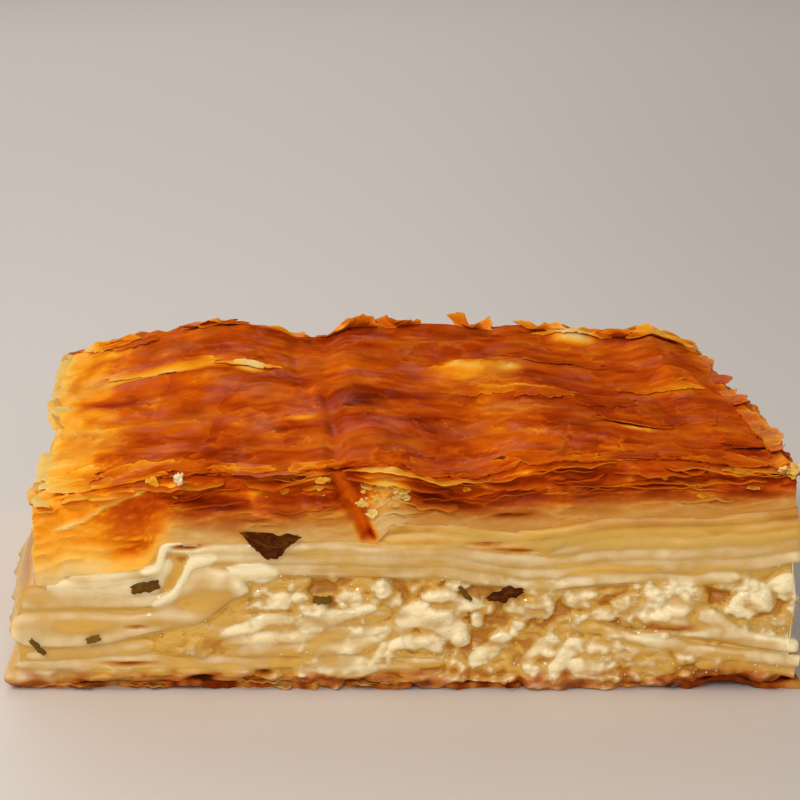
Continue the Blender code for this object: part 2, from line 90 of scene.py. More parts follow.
def at(points: Sequence[Point], x: float) -> float:
    """Read a broken line of (x, value) points at x, held level past its ends.

    Args:
        points: the line's points.
        x: where to read it.

    Returns:
        The value there.
    """
    if x <= points[0][0]:
        return points[0][1]
    for (x0, y0), (x1, y1) in zip(points, points[1:]):
        if x <= x1:
            return y0 + (y1 - y0) * (x - x0) / (x1 - x0)
    return points[-1][1]


def rounding(distance: float, radius: float) -> float:
    """Share of its full thickness that a rounded edge has at a distance from its rim."""
    share = clamp(1 - distance / radius)
    return (1 - share ** 2.4) ** (1 / 2.4)


def linear(red: int, green: int, blue: int) -> Tone:
    """Turn a colour of the screen (0 to 255) into a linear one for the shaders."""
    return tuple(((c / 255 + 0.055) / 1.055) ** 2.4 for c in (red, green, blue)) + (1.0,)


# Distances from a cut face, mm, at which a piece has rows of points: few for a plain rim, many
# for a rounded one
PLAIN_RIM = (0.0, 0.25, 0.7, 1.4, 2.6, 4.5)
ROUND_RIM = (0.0, 0.04, 0.12, 0.24, 0.42, 0.7, 1.1, 1.8, 3.0, 5.0)


class SliceSpace:
    """The room of the slice: turns section places into places of the frame."""

    depth = 86.0
    front_y = -43.0
    lean = 5.0
    full_sway_height = 24.0
    centre = Vector((2.5396, 0.3934, 0.0))

    @classmethod
    def place(cls, x: float, z: float, v: float, setback: float = 0.0) -> Vector:
        """Place a section point at depth share v.

        Args:
            x: place across the section, mm.
            z: height in the section, mm.
            v: depth share, 0 at the front cut and 1 at the back.
            setback: how far the two cut faces stand back there, mm.

        Returns:
            The place in the frame, in metres.
        """
        ease = clamp(5 * v)
        height = min(z / cls.full_sway_height, 1.0)
        lift = 0.6 * math.sin(x / 10 + 4.2 * v) + 0.2 * math.sin(x / 5.5 + 7 * v + 1)
        slide = 0.7 * math.sin(z / 5 + 6.5 * v + 0.6)
        y = cls.front_y + setback + (cls.depth - 2 * setback) * v
        local = Vector((x + ease * slide - cls.lean * v, y, z + ease * height * lift))
        return (local + cls.centre) * MM


def depth_rows(rim: Sequence[float], middle: int) -> list[float]:
    """Depth shares at some distances (mm) from both cut faces and evenly between them.

    Args:
        rim: the distances, mm.
        middle: number of rows between them.

    Returns:
        The shares, from 0 to 1.
    """
    near = [distance / SliceSpace.depth for distance in rim]
    inner = [near[-1] + (1 - 2 * near[-1]) * i / middle for i in range(1, middle)]
    return near + inner + [1 - share for share in reversed(near)]


def smooth_path(points: Sequence[Point], step: float) -> list[Vector]:
    """Run a Catmull-Rom curve through points, with a point about every step mm.

    Args:
        points: the points.
        step: how far apart the curve's points are, mm.

    Returns:
        The curve's points.
    """
    knots = [Vector(point) for point in points]
    knots = [knots[0] * 2 - knots[1]] + knots + [knots[-1] * 2 - knots[-2]]
    path: list[Vector] = []
    for p0, p1, p2, p3 in zip(knots, knots[1:], knots[2:], knots[3:]):
        count = max(1, round((p2 - p1).length / step))
        for index in range(count):
            t = index / count
            path.append(0.5 * (2 * p1 + (p2 - p0) * t + (2 * p0 - 5 * p1 + 4 * p2 - p3) * t * t
                               + (3 * p1 - p0 - 3 * p2 + p3) * t ** 3))
    return path + [knots[-2]]


class Skin:
    """Points, faces and paint values of one piece while it is being made."""

    def __init__(self) -> None:
        """Start with nothing."""
        self.points: list[Vector] = []
        self.faces: list[tuple[int, ...]] = []
        self.toast: list[float] = []
        self.butter: list[float] = []

    def add(self, point: Vector, toast: float = 0.0, butter: float = 0.0) -> int:
        """Add a point with how browned and how buttery it is.

        Args:
            point: its place, m.
            toast: how browned it is.
            butter: how buttery or moist it is.

        Returns:
            The point's index.
        """
        self.points.append(point)
        self.toast.append(toast)
        self.butter.append(butter)
        return len(self.points) - 1

    def strip(self, first: Sequence[int], second: Sequence[int]) -> None:
        """Join two rows of points with faces."""
        for a, b, c, d in zip(first, first[1:], second[1:], second):
            self.faces.append((a, b, c, d))

    def shell(self, upper: list[list[int]], lower: list[list[int]]) -> None:
        """Close two grids of the same size into one solid skin.

        Args:
            upper: one grid's points, row by row.
            lower: the other grid's.
        """
        for grid in (upper, lower):
            for first, second in zip(grid, grid[1:]):
                self.strip(first, second)
        self.strip(upper[0], lower[0])
        self.strip(upper[-1], lower[-1])
        self.strip([row[0] for row in upper], [row[0] for row in lower])
        self.strip([row[-1] for row in upper], [row[-1] for row in lower])

    def block(self, columns: int, rows: int, layers: int, maker: Callable[[int, int, int], int],
              plain_floor: bool = False) -> None:
        """Close the outside of a block of columns, rows and layers.

        Args:
            columns: last column.
            rows: last row.
            layers: last layer.
            maker: adds the corner of a column, row and layer and returns its index.
            plain_floor: whether the hidden floor has one face a column.
        """
        made: dict[tuple[int, int, int], int] = {}

        def corner(i: int, j: int, k: int) -> int:
            """Return a corner's point, made on first use.

            Args:
                i: its column.
                j: its row.
                k: its layer.

            Returns:
                The point's index.
            """
            if (i, j, k) not in made:
                made[i, j, k] = maker(i, j, k)
            return made[i, j, k]

        every_row, every_layer = range(rows + 1), range(layers + 1)
        for i in range(columns):
            self.strip([corner(i, j, layers) for j in every_row],
                       [corner(i + 1, j, layers) for j in every_row])
            for j in (0, rows):
                self.strip([corner(i, j, k) for k in every_layer],
                           [corner(i + 1, j, k) for k in every_layer])
            if not plain_floor:
                self.strip([corner(i, j, 0) for j in every_row],
                           [corner(i + 1, j, 0) for j in every_row])
            elif 0 < i < columns - 1:
                self.strip([corner(i, 0, 0), corner(i, rows, 0)],
                           [corner(i + 1, 0, 0), corner(i + 1, rows, 0)])
        for outer, inner in ((0, 1), (columns, columns - 1)):
            if plain_floor:
                rim = [corner(outer, j, 0) for j in every_row]
                self.faces.append((*rim, corner(inner, rows, 0), corner(inner, 0, 0)))
            for j in range(rows):
                self.strip([corner(outer, j, k) for k in every_layer],
                           [corner(outer, j + 1, k) for k in every_layer])

    def piece(self, name: str, material: Material) -> Object:
        """Turn the skin into an object with smooth faces that point outwards.

        Args:
            name: its name.
            material: its finish.

        Returns:
            The new object.
        """
        mesh = bpy.data.meshes.new(name)
        mesh.from_pydata([tuple(point) for point in self.points], [], self.faces)
        for key in ("toast", "butter"):
            layer = mesh.attributes.new(key, "FLOAT", "POINT")
            layer.data.foreach_set("value", getattr(self, key))
        return finished(name, mesh, material)


def finished(name: str, mesh: Mesh, material: Material) -> Object:
    """Turn a mesh's faces outwards, smooth them and show it as an object.

    Args:
        name: name of the mesh and of the object.
        mesh: the mesh.
        material: its only material.

    Returns:
        The new object.
    """
    shape = bmesh.new()
    shape.from_mesh(mesh)
    bmesh.ops.recalc_face_normals(shape, faces=shape.faces)
    shape.to_mesh(mesh)
    shape.free()
    mesh.shade_smooth()
    mesh.set_sharp_from_angle(angle=math.radians(65))
    mesh.materials.clear()
    mesh.materials.append(material)
    mesh.name = name
    piece = bpy.data.objects.new(name, mesh)
    bpy.context.scene.collection.objects.link(piece)
    return piece


def settle(piece: Object, slot: str, *nodes: str) -> Object:
    """Fix a piece to the slice and hide the solids that it stands for.

    Args:
        piece: the piece.
        slot: not used.
        *nodes: the solids that it stands for.

    Returns:
        The piece.
    """
    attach(piece, "root")
    if nodes:
        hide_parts(*nodes)
    LOG.info("%s: %d faces", piece.name, len(piece.data.polygons))
    return piece


class Plate:
    """A thin plate of a skin while it is being made: a grid of points on each of its faces."""

    def __init__(self, skin: Skin) -> None:
        """Start with no rows."""
        self.skin = skin
        self.grids: tuple[list[list[int]], list[list[int]]] = ([], [])

    def start_row(self) -> None:
        """Start a new row of point pairs."""
        for grid in self.grids:
            grid.append([])

    def add(self, pair: Sequence[Vector], toast: float, butter: float = 0.0) -> None:
        """Add an upper and a lower point to the row, with their paint."""
        for grid, spot in zip(self.grids, pair):
            grid[-1].append(self.skin.add(spot, toast, butter))

    def close(self) -> None:
        """Join the rows into one solid."""
        self.skin.shell(*self.grids)

    def close_rings(self) -> None:
        """Join rows that are rings, with a cap over the first ring."""
        for grid in self.grids:
            for row in grid:
                row.append(row[0])
            for inner_ring, outer_ring in zip(grid, grid[1:]):
                self.skin.strip(inner_ring, outer_ring)
            self.skin.faces.append(tuple(grid[0][:-1]))
        self.skin.strip(self.grids[0][-1], self.grids[1][-1])


# ---------------- finishes


class NodeKit:
    """Short ways to add nodes to a tree."""

    def __init__(self, tree: NodeTree) -> None:
        """Work on one tree."""
        self.tree = tree

    def feed(self, socket: NodeSocket, value: object) -> None:
        """Link another socket into an input, or set the input to a plain value.

        Args:
            socket: the input.
            value: the other socket or the value.
        """
        if isinstance(value, NodeSocket):
            self.tree.links.new(value, socket)
        else:
            socket.default_value = value

    def fill(self, node: Node, **inputs: object) -> Node:
        """Feed a node's inputs, given by name with _ for each space, and return the node.

        Args:
            node: the node.
            **inputs: the values or sockets.

        Returns:
            The node.
        """
        for key, value in inputs.items():
            self.feed(node.inputs[key.replace("_", " ")], value)
        return node

    def add(self, kind: str, **values: object) -> Node:
        """Add a node, set its properties, then its inputs given as in_0 or in_Name.

        Args:
            kind: the node's type.
            **values: its properties and inputs.

        Returns:
            The new node.
        """
        node = self.tree.nodes.new(kind)
        for key, value in values.items():
            if not key.startswith("in_"):
                setattr(node, key, value)
                continue
            name = key[3:].replace("_", " ")
            self.feed(node.inputs[int(name) if name.isdigit() else name], value)
        return node

    def math(self, operation: str, first: object, second: object = 0.0,
             third: object = 0.0) -> NodeSocket:
        """Add a Math node and return its result."""
        node = self.add("ShaderNodeMath", operation=operation, in_0=first, in_1=second, in_2=third)
        return node.outputs[0]

    def clamped(self, value: NodeSocket) -> NodeSocket:
        """Keep a value between 0 and 1."""
        return self.add("ShaderNodeClamp", in_Value=value).outputs[0]

    def paint(self, name: str) -> NodeSocket:
        """Return a value that the mesh carries at its points."""
        return self.add("ShaderNodeAttribute", attribute_name=name).outputs["Fac"]

    def place(self) -> NodeSocket:
        """Return the place on the piece, in metres."""
        return self.add("ShaderNodeTexCoord").outputs["Object"]

    def layered_place(self, across: float, up: float) -> NodeSocket:
        """Return the place scaled across and up, so that a pattern lies in flat layers."""
        return self.add("ShaderNodeVectorMath", operation="MULTIPLY", in_0=self.place(),
                        in_1=(across, across, up)).outputs[0]

    def noise(self, scale: float, detail: float, rough: float, distort: float = 0.0,
              place: NodeSocket | None = None) -> NodeSocket:
        """Add a Noise texture of so many waves per metre and return its value.

        Args:
            scale: waves per metre.
            detail: number of finer layers.
            rough: strength of the finer layers.
            distort: how far it is bent.
            place: the place to read, by default that on the piece.

        Returns:
            The value's socket.
        """
        return self.add("ShaderNodeTexNoise", in_Vector=self.place() if place is None else place,
                        in_Scale=scale, in_Detail=detail, in_Roughness=rough,
                        in_Distortion=distort).outputs["Fac"]

    def ramp(self, value: NodeSocket, stops: Sequence[tuple[float, Tone]]) -> NodeSocket:
        """Add a colour ramp and return its colour.

        Args:
            value: the value to colour.
            stops: positions and colours.

        Returns:
            The colour's socket.
        """
        node = self.add("ShaderNodeValToRGB", in_Fac=value)
        elements = node.color_ramp.elements
        while len(elements) < len(stops):
            elements.new(0.5)
        for element, (position, tone) in zip(elements, stops):
            element.position = position
            element.color = tone
        return node.outputs["Color"]

    def mix(self, share: object, first: object, second: object) -> NodeSocket:
        """Mix two colours and return the result."""
        return self.add("ShaderNodeMix", data_type="RGBA", in_0=share, in_6=first,
                        in_7=second).outputs[2]


BAKE_STOPS = [
    (0.0, linear(240, 206, 136)), (0.2, linear(244, 184, 74)), (0.4, linear(240, 148, 24)),
    (0.6, linear(208, 92, 10)), (0.75, linear(180, 66, 8)), (0.88, linear(148, 44, 4)),
    (1.0, linear(100, 24, 2))]
MOIST_STOPS = [
    (0.0, linear(226, 190, 128)), (0.25, linear(206, 154, 82)), (0.5, linear(190, 124, 50)),
    (0.75, linear(168, 84, 24)), (1.0, linear(112, 40, 8))]
HERB_STOPS = [(0.3, linear(40, 10, 0)), (0.52, linear(72, 26, 0)), (0.75, linear(98, 58, 4))]
HERB_VEIN, HERB_OLIVE = linear(150, 104, 44), linear(130, 102, 34)
# Dry white also serves as painted highlight on crests and proud curds of the cut face
CREAM_DEEP, CREAM_PALE, DRY_WHITE_AND_HIGHLIGHT = linear(185, 139, 66), linear(206, 165, 92), linear(246, 225, 176)
BUTTER_YELLOW, DEEP_YELLOW = linear(222, 172, 66), linear(184, 120, 18)
# Past toast 1 the dough turns scorched; this tone also serves as painted shade in the slits
DOUGH_BROWNED, DOUGH_SCORCHED_AND_SHADE = linear(184, 98, 14), linear(76, 20, 2)


class Effect(Enum):
    """Shader groups that several finishes share."""

    BAKED = "baked_tint"
    GRAIN = "fine_grain"
    DOUGH = "dough_tint"
    SHEEN = "butter_sheen"


class EffectShelf:
    """Builds each shared shader group once and places it in the materials."""

    def __init__(self) -> None:
        """Start with no group built."""
        self.built: dict[Effect, NodeTree] = {}

    def put(self, kit: NodeKit, effect: Effect, **inputs: object) -> Node:
        """Place a group, built on its first use, in a material with the material's values.

        Args:
            kit: the material's kit.
            effect: which group.
            **inputs: the values given to it.

        Returns:
            The group's node.
        """
        if effect not in self.built:
            maker = {Effect.BAKED: self.baked, Effect.GRAIN: self.grain,
                     Effect.SHEEN: self.sheen, Effect.DOUGH: self.dough}[effect]
            self.built[effect] = maker(effect)
        return kit.fill(kit.add("ShaderNodeGroup", node_tree=self.built[effect]), **inputs)

    def roughen(self, kit: NodeKit, shader: Node, low: float, spread: float, strength: float,
                depth: float, **amounts: float) -> NodeSocket:
        """Give a shader fine grain in its roughness and its normal.

        Args:
            kit: the material's kit.
            shader: its Principled shader.
            low: lowest roughness.
            spread: how much the grain adds to that.
            strength: strength of the bump.
            depth: depth of the bump, m.
            **amounts: pores and wrinkles of the grain.

        Returns:
            The grain's mask.
        """
        grain = self.put(kit, Effect.GRAIN, **amounts)
        relief = kit.add("ShaderNodeBump", in_Strength=strength, in_Distance=depth,
                         in_Height=grain.outputs["Height"])
        kit.fill(shader, Normal=relief.outputs[0],
                 Roughness=kit.math("MULTIPLY_ADD", grain.outputs["Mask"], spread, low))
        return grain.outputs["Mask"]

    @staticmethod
    def group(effect: Effect, inputs: dict[str, float],
              outputs: dict[str, str]) -> tuple[NodeKit, Sequence[NodeSocket], Node]:
        """Start a group with number inputs and named outputs.

        Args:
            effect: which group it is.
            inputs: names and defaults of the number inputs.
            outputs: names of the outputs and their socket types.
        """
        tree = bpy.data.node_groups.new(effect.value, "ShaderNodeTree")
        for name, value in inputs.items():
            socket = tree.interface.new_socket(name, in_out="INPUT", socket_type="NodeSocketFloat")
            socket.default_value = value
        for name, kind in outputs.items():
            tree.interface.new_socket(name, in_out="OUTPUT", socket_type=kind)
        kit = NodeKit(tree)
        return kit, kit.add("NodeGroupInput").outputs, kit.add("NodeGroupOutput")

    def baked(self, effect: Effect) -> NodeTree:
        """Colour of pastry by how browned it is, with mottling, duller where it is moist.

        Args:
            effect: its name.

        Returns:
            The group.
        """
        kit, given, sink = self.group(effect, {"Toast": 0.6, "Moist": 0.0, "Mottle": 0.2},
                                      {"Color": "NodeSocketColor"})
        broad = kit.noise(210.0, 5.0, 0.6, 0.9, kit.layered_place(0.7, 3.0))
        small = kit.noise(900.0, 4.0, 0.6)
        both = kit.math("ADD", kit.math("MULTIPLY", broad, 1.3), kit.math("MULTIPLY", small, 0.7))
        toast = kit.math("MULTIPLY_ADD", kit.math("SUBTRACT", both, 1.0), given["Mottle"],
                         given["Toast"])
        kit.fill(sink, Color=kit.mix(kit.clamped(given["Moist"]), kit.ramp(toast, BAKE_STOPS),
                                     kit.ramp(toast, MOIST_STOPS)))
        return kit.tree

    def dough(self, effect: Effect) -> NodeTree:
        """Colour of boiled pastry or cheese: cream, yellower with butter, browner with toast.

        Args:
            effect: its name.

        Returns:
            The group.
        """
        kit, given, sink = self.group(effect, {"Butter": 0.0, "Toast": 0.0, "White": 0.5},
                                      {"Color": "NodeSocketColor"})
        colour = kit.mix(kit.noise(160.0, 4.0, 0.55, 0.4), CREAM_DEEP, CREAM_PALE)
        spots = kit.math("SUBTRACT", kit.noise(420.0, 3.0, 0.5), 0.5)
        butter = kit.math("MULTIPLY_ADD", spots, 0.4, given["Butter"])
        for share, tone in (
                (kit.math("MULTIPLY_ADD", butter, -1.5, given["White"]), DRY_WHITE_AND_HIGHLIGHT),
                (kit.math("MULTIPLY", butter, 1.7), BUTTER_YELLOW),
                (kit.math("MULTIPLY_ADD", butter, 1.8, -0.8), DEEP_YELLOW),
                (given["Toast"], DOUGH_BROWNED),
                (kit.math("SUBTRACT", given["Toast"], 1.0), DOUGH_SCORCHED_AND_SHADE)):
            colour = kit.mix(kit.clamped(share), colour, tone)
        kit.fill(sink, Color=colour)
        return kit.tree

    def sheen(self, effect: Effect) -> NodeTree:
        """Mask of the patches that butter makes glossy.

        Args:
            effect: its name.

        Returns:
            The group.
        """
        kit, given, sink = self.group(effect, {"Amount": 0.3}, {"Mask": "NodeSocketFloat"})
        sharp = kit.math("MULTIPLY_ADD", kit.noise(130.0, 4.0, 0.6, 0.8), 6.0, -3.0)
        kit.fill(sink, Mask=kit.math("MULTIPLY", kit.clamped(sharp), given["Amount"]))
        return kit.tree

    def grain(self, effect: Effect) -> NodeTree:
        """Height of fine pores and wrinkles for a Bump node, and the wrinkles as a mask.

        Args:
            effect: its name.

        Returns:
            The group.
        """
        kit, given, sink = self.group(effect, {"Pores": 0.5, "Wrinkles": 0.5},
                                      {"Height": "NodeSocketFloat", "Mask": "NodeSocketFloat"})
        wrinkles = kit.noise(650.0, 5.0, 0.62, 1.2, kit.layered_place(0.55, 2.4))
        fine = kit.math("MULTIPLY", kit.noise(2600.0, 3.0, 0.6), given["Pores"])
        kit.fill(sink, Mask=wrinkles,
                 Height=kit.math("MULTIPLY_ADD", wrinkles, given["Wrinkles"], fine))
        return kit.tree


@dataclass(frozen=True)
class BakedFinish:
    """Browned, buttery pastry whose colour follows how long it was in the heat."""

    name: str
    shelf: EffectShelf
    mottle: float = 0.22
    roughness: float = 0.42
    specular: float = 0.0
    sheen: float = 0.04
    coat_roughness: float = 0.24
    bump: float = 0.35
    wrinkles: float = 0.9
    glow: float = 0.1

    def material(self) -> Material:
        """Build the material.

        Returns:
            The new material.
        """
        material, kit, shader = new_material(self.name)
        tint = self.shelf.put(kit, Effect.BAKED, Toast=kit.paint("toast"),
                              Moist=kit.paint("butter"), Mottle=self.mottle)
        gloss = self.shelf.put(kit, Effect.SHEEN, Amount=self.sheen)
        self.shelf.roughen(kit, shader, self.roughness - 0.15, 0.3, self.bump, 0.0005,
                           Pores=0.25, Wrinkles=self.wrinkles)
        kit.fill(shader, Base_Color=tint.outputs["Color"], Coat_Weight=gloss.outputs["Mask"],
                 Coat_Roughness=self.coat_roughness, Specular_IOR_Level=self.specular,
                 Specular_Tint=(1.0, 0.5, 0.18, 1.0), Subsurface_Weight=self.glow,
                 Subsurface_Radius=(1.0, 0.42, 0.12), Subsurface_Scale=0.002)
        return material


@dataclass(frozen=True)
class DoughFinish:
    """Moist boiled pastry or soft white cheese, cream to butter yellow."""

    name: str
    shelf: EffectShelf
    white: float = 0.3
    roughness: float = 0.45
    specular: float = 0.3
    coat: float = 0.5
    coat_roughness: float = 0.18
    bump: float = 0.25
    pores: float = 0.3
    wrinkles: float = 0.5
    glow: float = 0.4
    reach: float = 0.001

    def material(self) -> Material:
        """Build the material.

        Returns:
            The new material.
        """
        material, kit, shader = new_material(self.name)
        toast = kit.paint("toast")
        tint = self.shelf.put(kit, Effect.DOUGH, Toast=toast, Butter=kit.paint("butter"),
                              White=self.white)
        mask = self.shelf.roughen(kit, shader, self.roughness - 0.12, 0.25, self.bump, 0.0004,
                                  Pores=self.pores, Wrinkles=self.wrinkles)
        wet = kit.math("MULTIPLY_ADD", kit.clamped(toast), -0.85 * self.coat, self.coat)
        patchy = kit.clamped(kit.math("MULTIPLY_ADD", mask, 1.3, 0.05))
        kit.fill(shader, Base_Color=tint.outputs["Color"],
                 Coat_Weight=kit.math("MULTIPLY", wet, patchy),
                 Coat_Roughness=self.coat_roughness, Specular_IOR_Level=self.specular,
                 Subsurface_Weight=self.glow, Subsurface_Radius=(1.0, 0.82, 0.45),
                 Subsurface_Scale=self.reach)
        return material


@dataclass(frozen=True)
class HerbFinish:
    """Dark baked leaf, olive where the light comes through, with paler veins."""

    name: str
    shelf: EffectShelf
    roughness: float = 0.42

    def material(self) -> Material:
        """Build the material.

        Returns:
            The new material.
        """
        material, kit, shader = new_material(self.name)
        colour = kit.ramp(kit.noise(700.0, 4.0, 0.6, 0.8), HERB_STOPS)
        colour = kit.mix(kit.paint("butter"), colour, HERB_VEIN)
        colour = kit.mix(kit.paint("toast"), colour, HERB_OLIVE)
        self.shelf.roughen(kit, shader, self.roughness - 0.15, 0.3, 0.5, 0.0003)
        kit.fill(shader, Base_Color=colour, Specular_IOR_Level=0.08,
                 Specular_Tint=(1.0, 0.6, 0.3, 1.0))
        return material


def new_material(name: str) -> tuple[Material, NodeKit, Node]:
    """Start a material and return it with its node kit and its Principled shader.

    Args:
        name: its name.

    Returns:
        The material, its kit and its shader.
    """
    material = bpy.data.materials.new(name)
    material.use_nodes = True
    return material, NodeKit(material.node_tree), material.node_tree.nodes["Principled BSDF"]


# ---------------- paint of the cut faces


@dataclass(frozen=True)
class Patch:
    """A soft-edged patch: its middle, half sizes and effect, in x and height or depth share."""

    x: float
    w: float
    half_x: float
    half_w: float
    amount: float

    def at(self, x: float, w: float) -> float:
        """Return the patch's effect at a place."""
        return self.amount * bump((x - self.x) / self.half_x) * bump((w - self.w) / self.half_w)


def all_at(patches: Sequence[Patch], x: float, w: float) -> float:
    """Return the sum of many patches at a place."""
    return sum(patch.at(x, w) for patch in patches)


# Butter that has pooled between the sheets, browned places and places where sheets have fused;
# some butter and browning patches are painted shade in pits, slits and the gap under the base
BUTTER_AND_SHADE = [Patch(*row) for row in (
    (-43.5, 9.2, 9, 2.2, 0.5), (-28.5, 6.6, 8, 3, 0.5), (-26, 12.2, 7, 3.5, 0.45),
    (16, 12, 6.5, 2.8, 0.3), (35.5, 8.9, 6.5, 0.9, 0.8), (43, 2.8, 10, 2.6, 0.8),
    (2.5, 2.6, 6, 2.6, 0.7), (-30, 2.2, 24, 2.2, 0.5), (26, 16.4, 9, 1.4, 0.5),
    (-12, 14.6, 8, 1.6, 0.5), (40.2, 13.2, 2.6, 2.2, 0.9), (-50, 13.6, 5, 2.5, 0.5), (12, 8, 4, 3, 0.3),
    (30, 17.4, 24, 1.4, 0.2), (-33, 9.4, 9, 1.2, 0.35), (-8, 16.6, 12, 0.9, 0.3), (32, 9, 24, 8, 0.15),
    (-24, 4, 30, 4, 0.2), (6, 17.5, 22, 3.5, 0.12), (-40, 10, 12, 4, 0.1), (-12, 18.8, 9, 1, 0.3),
    (2, 20.4, 12, 1.1, 0.5), (13.5, 19.5, 7, 1, 0.5), (30, 3.6, 14, 3.4, 0.2), (-1, 10.4, 2, 1, 0.7),
    (-29.6, 18.3, 1.3, 0.9, 0.6))]
BROWN_AND_SHADE = [Patch(*row) for row in (
    (43, 2.2, 9, 2.4, 0.55), (2, 2, 5.5, 2.2, 0.4), (-31, 1.2, 14, 1.6, 0.45),
    (12.5, 19.5, 6, 0.6, 0.7), (35.3, 9, 5, 0.6, 0.9), (-27.5, 20, 2.4, 0.4, 1),
    (-36.8, 3.8, 4.5, 0.5, 0.7), (-35.7, 9, 2, 0.4, 0.6), (-27, 1.8, 3, 0.7, 0.6),
    (-12, 1, 8, 1.6, 0.35), (40.3, 13.1, 1.8, 1.5, 0.35))]
# Narrow gaps that open between layers, pressed in and painted dark as shade
SLITS = [Patch(*row) for row in (
    (-29.2, 19.75, 2.6, 0.42, 1.3), (10.6, 20.2, 4, 0.4, 0.6), (14.8, 19.3, 4, 0.4, 0.6),
    (-36.8, 3.7, 5, 0.4, 0.7), (-35.7, 8.8, 2, 0.36, 0.5), (35, 8.5, 5.2, 0.45, 0.6),
    (-27.4, 1.5, 2.8, 0.9, 1.5), (-19, 2.3, 1.6, 0.6, 1.3), (42, 0.9, 5, 0.9, 1.8))]
FUSED = [Patch(*row) for row in (
    (4, 18.3, 17, 4, 1), (-41, 13.6, 14, 3.2, 1), (-36, 3.4, 18, 2.4, 0.8), (-10, 7.6, 7, 2.4, 0.7),
    (44, 20, 12, 3, 0.5), (28, 22.2, 14, 2, 0.7), (-16, 19, 12, 2.4, 0.8), (44, 3, 10, 2, 0.7),
    (-8, 3, 10, 2, 0.6))]


def butter_and_shade_at(x: float, z: float) -> float:
    """How buttery the cut face is: more below the crust, in the pools and, as painted shade, in pits.

    Args:
        x: place across, mm.
        z: height, mm.

    Returns:
        The yellowness.
    """
    under_crust = 0.75 * smooth((z - 18.4) / 5.0) * smooth((x + 16) / 14)
    under_crust += 0.3 * smooth((z - 19.2) / 2.0) * (1 - smooth((x + 16) / 14))
    return under_crust + all_at(BUTTER_AND_SHADE, x, z) + 0.16 * wobble(x / 6, z / 1.6, 12.0)


def brown_and_shade_at(x: float, z: float) -> float:
    """How browned the cut face is: below the crust, above the base and, as painted shade, in slits.

    Args:
        x: place across, mm.
        z: height, mm.

    Returns:
        The browning.
    """
    spots = all_at(BROWN_AND_SHADE, x, z) * (1 + 0.6 * wobble(x / 1.5, z / 1.2))
    crisp = 0.9 * smooth((3.2 - z) / 1.4) * smooth(2.6 * wobble(x / 3.4, z / 1.1, 20.0) + 0.4)
    crisp += 0.6 * smooth((1.9 - z) / 0.9)
    crisp += 0.5 * smooth(3 * wobble(x / 2.2, z, 31.0) - 0.4) * smooth(2.4 - z)
    return 0.3 * smooth((z - 21.2) / 3.5) + spots + crisp


def crumble(along: float, z: float, key: float) -> float:
    """Relief of crumbled cheese: soft lumps, smaller crumbs and fine grain.

    Args:
        along: place along the face, mm.
        z: height, mm.
        key: picks the pattern.

    Returns:
        The height of the relief, mm.
    """
    soft = smooth(1.6 * wobble(along / 5, z / 3.5, key + 9) + 0.55)
    bend = 0.7 * wobble(along / 1.9, z / 1.9, key + 2)
    large = noise.voronoi((along / 3.0 + bend, z / 2.0, key))[0][0]
    small = noise.voronoi((along / 1.1 + 7, z / 0.8 + bend, key + 3))[0][0]
    relief = 1.3 * (1 - min(1.0, large * 1.25) ** 2) - 0.8
    relief += (0.1 + 0.4 * soft) * (1 - min(1.0, small * 1.35) ** 2)
    relief += (0.06 + 0.14 * soft) * wobble(along * 1.9, z * 1.9, key)
    relief += (0.03 + 0.08 * soft) * wobble(along * 4.6, z * 4.6, key)
    return relief


# ---------------- boiled sheets


